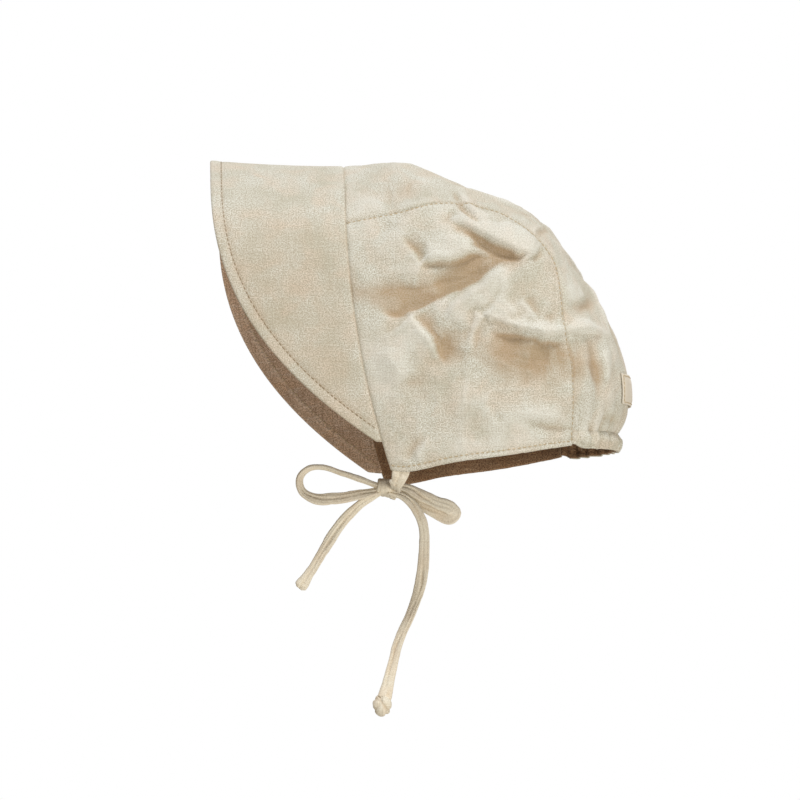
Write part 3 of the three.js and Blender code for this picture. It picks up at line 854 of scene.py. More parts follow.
@dataclass
class Drape:
    """Settles drawn folds as woven cloth: threads hardly stretch, so soft swells turn to creases."""

    spare: float = 0.004
    taken: float = 1.2
    spread: float = 2.2
    rounds: int = 260
    relaxed: float = 0.3
    momentum: float = 0.86
    pull: Place = (0.06, 0.014)
    shear: float = 0.35
    stiffness: float = 0.16
    lowest: float = -5.0
    highest: float = 4.8
    slip: float = 2.4

    @staticmethod
    def pair(grid: Array, down: int, across: int) -> tuple[Array, Array]:
        """Pairs each point of a grid with another.

        Args:
            grid: the grid.
            down: how many rows down the other lies.
            across: how many columns across, or back where it is negative.

        Returns:
            Views of the points and of their others.
        """
        rows, columns = grid.shape[:2]
        first = grid[: rows - down, max(0, -across) : columns - max(0, across)]
        second = grid[down:, max(0, across) : columns - max(0, -across)]
        return first, second

    def settle(self, points: Array, normals: Array, heights: Array) -> Array:
        """Settles a panel whose edges are held.

        Args:
            points: an even grid on the smooth form.
            normals: the form's normals there.
            heights: the drawn height of the cloth over it.

        Returns:
            How far each point moves off the smooth form.
        """
        target = points + normals * heights[..., None]
        links = []
        for down, across, firm in ((0, 1, 1.0), (1, 0, 1.0), (1, 1, self.shear), (1, -1, self.shear)):
            rest = np.linalg.norm(np.subtract(*self.pair(points, down, across)), axis=-1)
            drawn = np.linalg.norm(np.subtract(*self.pair(target, down, across)), axis=-1)
            taken = soften(np.maximum(drawn / rest - 1, 0), self.spread)
            links.append((down, across, firm, rest * (1 + self.spare + self.taken * taken)))
        for down, across in ((0, 2), (2, 0)):
            single = links[0][3] if across else links[1][3]
            links.append((down, across, self.stiffness, np.add(*self.pair(single, down // 2, across // 2))))
        place, before = target.copy(), target.copy()
        for step in range(self.rounds):
            share = step / self.rounds
            change = (self.pull[0] * (1 - share) ** 2 + self.pull[1]) * (target - place)
            for down, across, firm, rest in links:
                first, second = self.pair(place, down, across)
                run = second - first
                length = np.linalg.norm(run, axis=-1)
                stretched = 1 - rest / length
                if max(down, abs(across)) == 2:
                    stretched = np.minimum(stretched, 0)
                fix = 0.5 * firm * self.relaxed * stretched[..., None] * run
                for part, sign in zip(self.pair(change, down, across), (1, -1)):
                    part += sign * fix
            change[[0, -1]] = change[:, [0, -1]] = 0
            moved = place + self.momentum * (place - before) + change
            moved[[0, -1]], moved[:, [0, -1]] = place[[0, -1]], place[:, [0, -1]]
            off = moved - points
            height = (off * normals).sum(axis=-1, keepdims=True)
            aside = off - height * normals
            reach = np.maximum(np.linalg.norm(aside, axis=-1, keepdims=True), 1e-9)
            aside *= np.minimum(1, self.slip / reach)
            before, place = place, points + np.clip(height, self.lowest, self.highest) * normals + aside
        return place - points


# ---- Cloth as closed shells ----


# The blurs, in steps of a grid, that the relief is read against, and the weight of each. The finishes paint
# shade into the relief's hollows and a highlight onto its ridges.
RELIEF_SHARES = ((18, 0.6), (7, 0.5), (2, 0.45))


@dataclass
class Cloth:
    """A grid of points that a cloth's faces are measured from, with its normals and flat places.

    relief is how far each point stands over the cloth around it, and shade the painted shade and painted
    light laid on top of it.
    """

    points: Array
    normals: Array
    flat: Array
    relief: Array | None = None
    shade: Array | float = 0.0

    def edge_distances(self) -> dict[str, Array]:
        """Measures the grid along the cloth.

        Returns:
            How far each point lies from each edge of the grid, by the edge's name.
        """
        rows = np.linalg.norm(np.diff(self.points, axis=0), axis=-1)
        columns = np.linalg.norm(np.diff(self.points, axis=1), axis=-1)
        down = np.concatenate([np.zeros_like(rows[:1]), np.cumsum(rows, axis=0)])
        across = np.concatenate([np.zeros_like(columns[:, :1]), np.cumsum(columns, axis=1)], axis=1)
        return {
            "top": down,
            "bottom": down[-1:] - down,
            "left": across,
            "right": across[:, -1:] - across,
        }

    def area(self) -> float:
        """The area of the grid in square metres."""
        cells = np.cross(np.diff(self.points, axis=0)[:, :-1], np.diff(self.points, axis=1)[:-1])
        return float(np.linalg.norm(cells, axis=-1).sum()) * MM * MM

    def lifted(self, heights: Array, seams: Sequence[str], move: Array | float = 0.0) -> "Cloth":
        """The same cloth at heights over this one.

        Args:
            heights: the height over each point.
            seams: the edges sewn to a neighbour, where both cloths keep the smooth form's normals.
            move: how far each point has settled off this cloth before it is lifted.

        Returns:
            The lifted cloth, with its normals worked out again.
        """
        points = self.points + self.normals * heights[..., None] + move
        heights = ((points - self.points) * self.normals).sum(axis=-1)
        across = np.gradient(points, axis=1)
        down = np.gradient(points, axis=0)
        normals = unit(np.cross(across, down))
        normals *= np.sign((normals * self.normals).sum(axis=-1).mean())
        if seams:
            edges = self.edge_distances()
            held = np.exp(-np.minimum.reduce([edges[seam] for seam in seams]) / 1.6)[..., None]
            normals = unit(normals * (1 - held) + self.normals * held)
        relief = sum(share * (heights - soften(heights, reach)) for reach, share in RELIEF_SHARES)
        return Cloth(points, normals, self.flat, relief, self.shade)


def grid_faces(rows: int, columns: int) -> Array:
    """The quads of a grid of vertices, as rows of four indices."""
    start = np.arange((rows - 1) * columns).reshape(rows - 1, columns)[:, :-1].ravel()
    return np.stack([start, start + 1, start + columns + 1, start + columns], axis=1)


def new_object(name: str, data: bpy.types.ID) -> bpy.types.Object:
    """A new object in the scene, at the origin."""
    made = bpy.data.objects.new(name, data)
    bpy.context.collection.objects.link(made)
    return made


def mesh_object(
    name: str, points: Array, faces: Sequence[Sequence[int]], flat: Array | None, relief: Array | None = None
) -> bpy.types.Object:
    """A smooth object from a mesh worked out here.

    Args:
        name: the object's name.
        points: its vertices in millimetres.
        faces: the vertices of each face.
        flat: where each vertex lies in the flat cloth in millimetres, for a UV map in metres.
        relief: how far each vertex stands over the cloth around it, with any painted shade and light added,
            for the finish to paint as shade and highlight.

    Returns:
        The object.
    """
    mesh = bpy.data.meshes.new(name)
    mesh.from_pydata((points * MM).tolist(), [], [list(map(int, face)) for face in faces])
    if flat is not None:
        layer = mesh.uv_layers.new(name="cloth")
        corners = np.empty(len(mesh.loops), dtype=np.int32)
        mesh.loops.foreach_get("vertex_index", corners)
        layer.data.foreach_set("uv", (flat[corners] * MM).astype(np.float32).ravel())
    mesh.shade_smooth()
    mesh.update()
    if relief is not None:
        stored = mesh.attributes.new("relief", "FLOAT", "POINT")
        stored.data.foreach_set("value", relief.astype(np.float32))
    return new_object(name, mesh)


def closed_shell(name: str, cloth: Cloth, top: Array, bottom: Array) -> bpy.types.Object:
    """A closed wall between two offsets of a cloth grid.

    Args:
        name: the object's name.
        cloth: the grid.
        top: the outer face's height over the grid at each point.
        bottom: the inner face's height.

    Returns:
        The object, with its faces outwards.
    """
    rows, columns = cloth.points.shape[:2]
    outer = (cloth.points + cloth.normals * top[..., None]).reshape(-1, 3)
    inner = (cloth.points + cloth.normals * bottom[..., None]).reshape(-1, 3)
    index = np.arange(rows * columns).reshape(rows, columns)
    border = np.concatenate([index[0, :-1], index[:-1, -1], index[-1, :0:-1], index[:0:-1, 0]])
    following = np.roll(border, -1)
    count = rows * columns
    faces = grid_faces(rows, columns)
    rim = np.stack([following, border, border + count, following + count], axis=1)
    shell = np.concatenate([faces, faces[:, ::-1] + count, rim])
    first = cloth.points[rows // 2, columns // 2 : columns // 2 + 2]
    below = cloth.points[rows // 2 + 1, columns // 2]
    facing = np.cross(first[1] - first[0], below - first[0]) @ cloth.normals[rows // 2, columns // 2]
    if facing < 0:
        shell = shell[:, ::-1]
    flat = np.concatenate([cloth.flat.reshape(-1, 2)] * 2)
    # The outer face reads the relief with the painted shade and light; the inner face reads the relief alone,
    # turned over.
    relief = np.concatenate([(cloth.relief + cloth.shade).ravel(), -cloth.relief.ravel()])
    return mesh_object(name, np.concatenate([outer, inner]), shell, flat, relief)


@dataclass(frozen=True)
class Layers:
    """How the two cloths lie over each other, and how they close at a turned edge."""

    outer: Place = (0.0, -0.9)
    lining: Place = (-1.25, -2.1)
    middle: float = -1.08
    turn: float = 1.3

    def offsets(self, layer: Layer, edge: Array) -> tuple[Array, Array]:
        """The faces' heights of a layer.

        Args:
            layer: which cloth.
            edge: the distance to the nearest turned edge.

        Returns:
            The outer and the inner face's heights.
        """
        share = np.clip(1 - edge / self.turn, 0, 1)
        roll = 1 - np.sqrt(np.maximum(1 - share**2, 0))
        top, bottom = self.outer if layer is Layer.OUTER else self.lining
        over, under = (0.12, -0.04) if layer is Layer.OUTER else (-0.04, -0.12)
        return top + (self.middle + over - top) * roll, bottom + (self.middle + under - bottom) * roll


LAYERS = Layers()
CLOSE = (0.0, 0.12, 0.35, 0.7, 1.1, 1.6, 2.2)


@dataclass(frozen=True)
class SeamLine:
    """A seam's pressed groove and its pucker, by the distance from it."""

    depth: float = 0.55
    reach: float = 0.7
    pucker: float = 0.34
    pucker_size: float = 6.5
    pucker_reach: float = 4.5

    def heights(self, distance: Array, points: Array, noise: ClothNoise) -> Array:
        """How far the seam pulls the cloth down and puckers it.

        Args:
            distance: how far each point lies from the seam.
            points: the points.
            noise: what the pucker is read from.

        Returns:
            A height for each point.
        """
        groove = -self.depth * bell(distance, self.reach)
        pull = -0.5 * self.depth * bell(distance, 3 * self.reach)
        ripple = noise.at(points, self.pucker_size) * self.pucker * bell(distance, self.pucker_reach)
        return groove + pull + ripple


PANEL_SEAM = SeamLine()
BRIM_SEAM = SeamLine(depth=0.6, reach=0.4, pucker=0.1, pucker_size=9, pucker_reach=3)
TOPSTITCH = SeamLine(depth=0.28, reach=0.6, pucker=0.1, pucker_size=3.4, pucker_reach=1.6)


# ---- Finishes ----


def linear(colour: str, alpha: float = 1.0) -> tuple[float, float, float, float]:
    """An sRGB hex colour as linear values."""
    values = [int(colour[i : i + 2], 16) / 255 for i in (1, 3, 5)]
    red, green, blue = (v / 12.92 if v <= 0.04045 else ((v + 0.055) / 1.055) ** 2.4 for v in values)
    return red, green, blue, alpha


def set_inputs(tree: bpy.types.NodeTree, node: bpy.types.Node, inputs: dict) -> None:
    """Sets a node's inputs, and links those that are given an output socket.

    Args:
        tree: the node's tree.
        node: the node.
        inputs: by name or number, a value or an output socket.
    """
    for key, value in inputs.items():
        if isinstance(value, bpy.types.NodeSocket):
            tree.links.new(value, node.inputs[key])
        else:
            node.inputs[key].default_value = value


def new_material(name: str) -> tuple[bpy.types.Material, bpy.types.NodeTree]:
    """A new material and its tree of nodes."""
    made = bpy.data.materials.new(name)
    made.use_nodes = True
    return made, made.node_tree


def add_node(
    tree: bpy.types.NodeTree, kind: str, inputs: dict | None = None, **settings: object
) -> bpy.types.Node:
    """Adds a shader node.

    Args:
        tree: the tree that it goes into.
        kind: the node's type.
        inputs: by name or number, a value to set or an output socket to link.
        settings: the node's own properties.

    Returns:
        The node.
    """
    made = tree.nodes.new(kind)
    for key, value in settings.items():
        setattr(made, key, value)
    set_inputs(tree, made, inputs or {})
    return made


@dataclass(frozen=True)
class Tint:
    """A colour mixed in from none where a value is at start to most where it is at full.

    over is a second value that the mixed share is multiplied by.
    """

    value: bpy.types.NodeSocket
    start: float
    full: float
    most: float
    colour: str
    over: bpy.types.NodeSocket | None = None


@dataclass(frozen=True)
class WovenCloth:
    """A washed plain weave of linen and cotton.

    Matt, with soft slubs along both threads, a grain of single threads and cloudy dye or bleach.
    Painted shade darkens its hollows and a painted highlight lightens its ridges.
    Threads are about 0.45 mm apart. They are drawn 0.8 mm apart, so that they show.
    """

    name: str
    ground: str
    light: str
    dark: str
    cloud: str
    bloom: str
    thread: float = 0.0008
    slub_length: float = 0.011
    grain: float = 0.22
    fleck: float = 0.3
    relief: float = 0.00026
    roughness: float = 0.92
    sheen: float = 0.12
    # hollow is the colour of the painted shade in hollows, creases and the tan shade rows. light is also the
    # painted highlight on ridges and the light rows.
    hollow: str = "#ad8a5c"
    painted_shade_share: float = 0.62
    slub_share: float = 0.4
    painted_highlight_share: float = 0.35

    def material(self) -> bpy.types.Material:
        """Builds the cloth's material.

        Returns:
            The material, drawn on the flat places in the UV map.
        """
        made, tree = new_material(self.name)
        flat = add_node(tree, "ShaderNodeUVMap", uv_map="cloth").outputs["UV"]
        # Slubs are noise drawn out along each set of threads.
        long, short = 1 / self.slub_length, 0.55 / self.thread
        slubs = []
        for scale in ((long, short, 1.0), (short, long, 1.0)):
            drawn = add_node(tree, "ShaderNodeMapping", {"Vector": flat, "Scale": scale}).outputs[0]
            inputs = {"Vector": drawn, "Scale": 1.0, "Detail": 2.0, "Roughness": 0.6}
            slubs.append(add_node(tree, "ShaderNodeTexNoise", inputs).outputs["Fac"])
        weft, warp = slubs
        # A wave texture has 20 / (2 pi) bands to a unit at scale 1.
        inputs = {"Vector": flat, "Scale": 2 * math.pi / 20 / self.thread}
        inputs |= {"Distortion": 1.6, "Detail": 1.0, "Detail Scale": 0.35}
        ribs = []
        for axis in "XYY":
            wave = add_node(tree, "ShaderNodeTexWave", inputs, wave_type="BANDS", bands_direction=axis)
            ribs.append(wave.outputs["Fac"])
        clouds, blooms, grain = (
            add_node(tree, "ShaderNodeTexNoise", {"Vector": flat, **inputs}).outputs["Fac"]
            for inputs in (
                {"Scale": 34.0, "Detail": 3.0, "Roughness": 0.55},
                {"Scale": 64.0, "Detail": 2.0, "Distortion": 0.6},
                {"Scale": 1.15 / self.thread, "Detail": 2.0},
            )
        )
        cells = add_node(tree, "ShaderNodeTexVoronoi", {"Vector": flat, "Scale": 36.0}).outputs["Distance"]
        height = add_node(tree, "ShaderNodeAttribute", attribute_name="relief").outputs["Fac"]
        colour = linear(self.ground)
        for tint in (
            Tint(clouds, 0.42, 0.64, 1.0, self.cloud),
            Tint(blooms, 0.42, 0.7, 0.85, self.bloom),
            Tint(weft, 0.52, 0.8, self.fleck, self.light),
            Tint(warp, 0.53, 0.82, self.fleck, self.dark),
            Tint(grain, 0.41, 0.61, self.grain, self.dark),
            Tint(cells, 0.11, 0.03, self.slub_share, self.dark, over=ribs[2]),
            # Painted shade: the relief's hollows and the tan shade rows darken toward hollow. Painted
            # highlight: its ridges and the light rows lighten toward light.
            Tint(height, -0.15, -2.6, self.painted_shade_share, self.hollow),
            Tint(height, 0.12, 1.1, self.painted_highlight_share, self.light),
        ):
            inputs = {"Value": tint.value, "From Min": tint.start, "From Max": tint.full, "To Max": tint.most}
            share = add_node(tree, "ShaderNodeMapRange", inputs).outputs[0]
            if tint.over is not None:
                inputs = {0: share, 1: tint.over}
                share = add_node(tree, "ShaderNodeMath", inputs, operation="MULTIPLY").outputs[0]
            inputs = {0: share, 6: colour, 7: linear(tint.colour)}
            colour = add_node(tree, "ShaderNodeMix", inputs, data_type="RGBA").outputs[2]
        # The threads and the slubs stand up as relief.
        both = add_node(tree, "ShaderNodeMath", {0: weft, 1: warp}, operation="ADD").outputs[0]
        rise = add_node(tree, "ShaderNodeMath", {0: both, 1: 1.6}, operation="MULTIPLY").outputs[0]
        threads = add_node(tree, "ShaderNodeMath", {0: ribs[0], 1: ribs[1]}, operation="ADD").outputs[0]
        inputs = {0: threads, 1: 0.3, 2: rise}
        relief = add_node(tree, "ShaderNodeMath", inputs, operation="MULTIPLY_ADD").outputs[0]
        inputs = {"Strength": 0.6, "Distance": self.relief, "Height": relief}
        normal = add_node(tree, "ShaderNodeBump", inputs).outputs["Normal"]
        set_inputs(tree, tree.nodes["Principled BSDF"], {
            "Base Color": colour, "Normal": normal, "Roughness": self.roughness, "Specular IOR Level": 0.25,
            "Sheen Weight": self.sheen, "Sheen Roughness": 0.5,
        })
        return made


@dataclass(frozen=True)
class SewingThread:
    """Spun polyester sewing thread: two plies, a little shinier than the cloth."""

    name: str
    colour: str
    shade: str
    ply: float = 0.0009

    def material(self) -> bpy.types.Material:
        """Builds the thread's material.

        Returns:
            The material.
        """
        made, tree = new_material(self.name)
        place = add_node(tree, "ShaderNodeTexCoord").outputs["Object"]
        inputs = {"Vector": place, "Scale": 1 / self.ply, "Detail": 2.0}
        noise = add_node(tree, "ShaderNodeTexNoise", inputs).outputs["Fac"]
        inputs = {0: noise, 6: linear(self.colour), 7: linear(self.shade)}
        colour = add_node(tree, "ShaderNodeMix", inputs, data_type="RGBA").outputs[2]
        inputs = {"Strength": 0.5, "Distance": 0.0001, "Height": noise}
        normal = add_node(tree, "ShaderNodeBump", inputs).outputs["Normal"]
        inputs = {"Base Color": colour, "Normal": normal, "Roughness": 0.62}
        set_inputs(tree, tree.nodes["Principled BSDF"], inputs)
        return made


CREAM_CLOTH = WovenCloth(
    "cream_linen_cotton", "#ecede4", "#fafbf5", "#b9b19c", "#d9d7c8", "#eee1d1", grain=0.9, fleck=0.5
)
# The tie's cream is lighter than the crown's: partly the tape's own paler look, partly painted light against
# the crown's shade over the tie.
TIE_CLOTH = WovenCloth(
    "cream_linen_tie", "#faf4e2", "#fffbee", "#d0c0a4", "#f2eada", "#f5e4cc", grain=0.45, fleck=0.4
)
# The brim's lining, drawn lighter than the cloth inside the crown: painted light.
BROWN_CLOTH = WovenCloth(
    "brown_linen_cotton", "#eacfb6", "#fff2e4", "#8c705a", "#d6baa2", "#e4c2a2", grain=0.85, fleck=0.75,
    relief=0.0002, hollow="#6a4f3a",
)
# The same cloth inside the crown, drawn darker: painted shade, since the crown's inside lies in shade.
SHADED_BROWN_CLOTH = WovenCloth(
    "brown_linen_cotton_shaded_inner", "#aa8a6c", "#d6b896", "#5c4430", "#967656", "#a88260", grain=0.85, fleck=0.65,
    relief=0.0002, hollow="#4a3422",
)
LABEL_TAPE = WovenCloth(
    "woven_label_tape", "#ece5d8", "#f6f1e6", "#cbbfa8", "#e4dac8", "#ece5d8", thread=0.0006, fleck=0.15,
    grain=0.12, relief=0.00008, roughness=0.8,
)
CREAM_THREAD = SewingThread("cream_sewing_thread", "#d6c5a2", "#b39c74")
BROWN_THREAD = SewingThread("brown_sewing_thread", "#b09c7f", "#8c785c")


# ---- Stitches ----


def deselect_all() -> None:
    """Leaves edit mode and deselects all objects."""
    if bpy.context.mode != "OBJECT":
        bpy.ops.object.mode_set(mode="OBJECT")
    bpy.ops.object.select_all(action="DESELECT")


@dataclass
class StitchMaker:
    """Copies one modelled stitch along rows."""

    length: float = 2.0
    width: float = 0.52
    rise: float = 0.16
    uneven: float = 0.05
    points: Array = field(init=False)
    faces: list[list[int]] = field(init=False)

    def __post_init__(self) -> None:
        """Models the stitch: a short strand that dives into the cloth at both ends."""
        deselect_all()
        bpy.ops.mesh.primitive_uv_sphere_add(segments=6, ring_count=6, radius=1.0)
        strand = bpy.context.active_object
        bpy.ops.object.mode_set(mode="EDIT")
        bpy.ops.transform.rotate(value=math.pi / 2, orient_axis="Y", center_override=(0, 0, 0))
        bpy.ops.transform.resize(value=(self.length / 2, self.width / 2, self.width / 2))
        bpy.ops.object.mode_set(mode="OBJECT")
        self.points = np.array([v.co for v in strand.data.vertices])
        self.faces = [list(p.vertices) for p in strand.data.polygons]
        bpy.data.objects.remove(strand)

    def row(self, name: str, line: Array, normals: Array, spacing: float, seed: int) -> bpy.types.Object:
        """A row of stitches.

        Args:
            name: the object's name.
            line: points along the row, in millimetres.
            normals: the cloth's normals there.
            spacing: from one stitch to the next.
            seed: the seed of its small unevenness.

        Returns:
            One object of all the stitches.
        """
        chance = np.random.default_rng(seed)
        along = arc_lengths(line)
        places = np.arange(spacing / 2, along[-1] - spacing / 2, spacing)
        places = places + chance.normal(0, self.uneven * spacing, len(places))
        points, faces = [], []
        for place in places:
            forward = unit(read_line(place + 1, along, line) - read_line(place - 1, along, line))
            up = unit(read_line(place, along, normals))
            across = unit(np.cross(up, forward)) + chance.normal(0, self.uneven) * forward
            size = 1 + chance.normal(0, self.uneven)
            turned = self.points @ np.stack([forward, across, np.cross(forward, across)]) * size
            faces += [[i + len(points) * len(self.points) for i in face] for face in self.faces]
            points.append(read_line(place, along, line) + up * self.rise + turned)
        return mesh_object(name, np.concatenate(points), faces, None)


# ---- The crown ----


def dress(
    piece: bpy.types.Object, material: bpy.types.Material, nodes: Sequence[str] = ()
) -> None:
    """Gives a piece what it needs beside its shape.

    Args:
        piece: the object.
        material: its finish.
        nodes: the CAD nodes that it stands for.
    """
    piece.data.materials.clear()
    piece.data.materials.append(material)
    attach(piece, BODY)
    if nodes:
        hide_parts(*nodes)
    log.info("%s: %d faces", piece.name, len(piece.data.polygons))


def add_layer(
    name: str, grid: Cloth, layer: Layer, edge: Array, material: bpy.types.Material, node: str
) -> bpy.types.Object:
    """Adds one of the two cloths as a closed wall.

    Args:
        name: the object's name.
        grid: the cloth.
        layer: which of the two it is.
        edge: how far each point lies from the nearest turned edge.
        material: its finish.
        node: the CAD node that it stands for.

    Returns:
        The object.
    """
    piece = closed_shell(name, grid, *LAYERS.offsets(layer, edge))
    dress(piece, material, [node])
    return piece


def seam_hold(front: Array, seam: Array, low: Array) -> Array:
    """How free the cloth is, by its distance from the brim, the nearest seam and its low edge."""
    return ease(front, 0, 16) * (0.4 + 0.6 * ease(seam, 0, 9)) * (0.3 + 0.7 * ease(low, 0, 12))


@dataclass
class Crown:
    """The crown: two side panels and a center panel, each of a cream and a brown cloth."""

    form: CrownForm
    folds: FoldField
    stitches: StitchMaker
    materials: dict[str, bpy.types.Material]
    step: float = 1.05
    lining_step: float = 1.7
    hem_stitch: float = 3.0
    seam_stitch: float = 1.7
    spacing: float = 3.0
    nape_reach: float = 13.5
    side_size: Place = (128.0, 150.0)
    center_size: Place = (104.0, 238.0)
    settled_step: float = 1.5
    drape: Drape = field(default_factory=Drape)
    moves: dict[str, Array] = field(default_factory=dict)

    def settled(
        self, name: str, make: Callable[[Array, Array], Cloth], size: Place, seams: Sequence[str]
    ) -> Array:
        """How far the points of an even grid on a panel move as its folds settle.

        Args:
            name: the panel's name.
            make: makes the smooth panel at shares across and down.
            size: its rough size across and down.
            seams: the grid's edges that are panel seams.

        Returns:
            The moves, worked out once for each panel.
        """
        if name not in self.moves:
            across, down = (np.linspace(0, 1, round(length / self.settled_step) + 1) for length in size)
            smooth = make(across, down)
            edges = smooth.edge_distances()
            front = edges["top" if name == "center" else "left"]
            seam = np.minimum.reduce([edges[edge] for edge in seams])
            heights = self.folds.heights(smooth.points, seam_hold(front, seam, edges["bottom"]))
            self.moves[name] = self.drape.settle(smooth.points, smooth.normals, heights)
        return self.moves[name]

    def side_cloth(self, side: Side, step: float) -> Cloth:
        """The grid of a side panel with its folds.

        Args:
            side: which panel.
            step: the grid's step in millimetres.

        Returns:
            The grid.
        """

        def make(across: Array, down: Array) -> Cloth:
            """The smooth panel at shares across and down."""
            place = self.form.side_place(*np.meshgrid(across, down))
            return Cloth(*self.form.frame(place[..., 0], place[..., 1], float(side.value)), place)

        across, down = (graded(length, step, CLOSE, (True, True)) for length in self.side_size)
        moves = self.settled(side.name, make, self.side_size, ("top", "right"))
        smooth = make(across, down)
        points, noise = smooth.points, self.folds.noise
        # Painted shade and painted light from the shade rows.
        smooth.shade = self.folds.shade(points)
        edges = smooth.edge_distances()
        seam = np.minimum(edges["top"], edges["right"])
        heights = self.folds.fine(points) * ease(np.minimum(seam, edges["left"]), 0, 6)
        heights += PANEL_SEAM.heights(seam, points, noise)
        heights += BRIM_SEAM.heights(edges["left"], points, noise)
        heights += TOPSTITCH.heights(np.abs(edges["bottom"] - self.hem_stitch), points, noise)
        return smooth.lifted(heights, ("top", "left", "right"), read_evenly(moves, down, across))

    def center_cloth(self, step: float) -> Cloth:
        """The grid of the center panel with its folds and the pull of the nape.

        Args:
            step: the grid's step in millimetres.

        Returns:
            The grid.
        """

        def make(across: Array, down: Array) -> Cloth:
            """The smooth panel at shares across and down."""
            points, normals = self.form.center(*np.meshgrid(across * 2 - 1, down))
            return Cloth(points, normals, np.zeros(points.shape[:2] + (2,)))

        across, down = (graded(length, step, CLOSE, (True, True)) for length in self.center_size)
        moves = self.settled("center", make, self.center_size, ("left", "right"))
        smooth = make(across, down)
        points, noise = smooth.points, self.folds.noise
        edges = smooth.edge_distances()
        # Painted shade and painted light from the shade rows.
        smooth.shade = self.folds.shade(points)
        smooth.flat = np.stack([edges["left"] - edges["right"], edges["top"] * 2], axis=-1) / 2
        seam = np.minimum(edges["left"], edges["right"])
        u = np.broadcast_to(across * 2 - 1, seam.shape)
        heights = self.folds.fine(points) * ease(np.minimum(seam, edges["top"]), 0, 6)
        reach = self.nape_reach * (1 + 0.5 * noise.at(np.stack([u * 100, u * 0, u * 0 + 640], axis=-1), 9))
        heights += nape_gathers(u) * np.exp(-edges["bottom"] / reach) * NAPE_PULL * ease(seam, 0, 6)
        heights += PANEL_SEAM.heights(seam, points, noise)
        heights += BRIM_SEAM.heights(edges["top"], points, noise)
        heights += TOPSTITCH.heights(edges["bottom"], points, noise)
        return smooth.lifted(heights, ("top", "left", "right", "bottom"), read_evenly(moves, down, across))

    def add_panel(
        self, name: str, nodes: tuple[str, str], make: Callable[[float], Cloth], turned: bool
    ) -> Cloth:
        """Adds one panel's two cloths.

        Args:
            name: the panel's name.
            nodes: the CAD nodes of the outer cloth and of the lining.
            make: makes the panel's grid at a step.
            turned: whether its bottom edge is a turned hem.

        Returns:
            The outer cloth's grid.
        """
        grids = {}
        for layer, node, step in zip(Layer, nodes, (self.step, self.lining_step)):
            grid = make(step)
            edge = grid.edge_distances()["bottom"] if turned else np.full(grid.points.shape[:2], np.inf)
            material = self.materials["cream" if layer is Layer.OUTER else "shaded_inner_brown"]
            piece = add_layer(f"{name}_{layer.value}", grid, layer, edge, material, node)
            grids[layer] = grid
        return grids[Layer.OUTER]

    def add_stitches(self, sides: dict[Side, Cloth]) -> None:
        """Adds the rows beside the panel seams and along the hems.

        Args:
            sides: the outer grids of the side panels.
        """
        for side, grid in sides.items():
            label = side.name.lower()
            edges = grid.edge_distances()
            middle_row, middle = (length // 2 for length in edges["top"].shape)
            row = int(np.argmin(np.abs(edges["top"][:, middle] - self.seam_stitch)))
            column = int(np.argmin(np.abs(edges["right"][middle_row] - self.seam_stitch)))
            low = int(np.argmin(np.abs(edges["bottom"][:, middle] - self.hem_stitch)))
            both = np.concatenate([grid.points, grid.normals], axis=-1)
            seam = np.concatenate([both[row, 2 : column + 1], both[row + 1 : -2, column]])
            for name, line, seed in (("seam", seam, 21), ("hem", both[low, 4:-4], 31)):
                name, seed = f"{name}_stitches_{label}", seed + side.value
                piece = self.stitches.row(name, line[:, :3], line[:, 3:], self.spacing, seed)
                dress(piece, self.materials["cream_thread"])

    def build(self) -> None:
        """Adds the crown's cloths and stitches."""
        sides = {}
        for side in Side:
            label = side.name.lower()
            nodes = (f"crown_side_{label}", f"lining_side_{label}")

            def make(step: float, side: Side = side) -> Cloth:
                """This side's grid at a step."""
                return self.side_cloth(side, step)

            sides[side] = self.add_panel(f"side_panel_{label}", nodes, make, True)
        self.add_panel("center_panel", ("crown_center", "lining_center"), self.center_cloth, False)
        self.add_stitches(sides)


# ---- The brim ----


@dataclass(frozen=True)
class BrimHalf:
    """How one half of the brim runs out, and how far it is turned down, in radians."""

    end_z: float
    fall: float
    taper: float
    turn: float


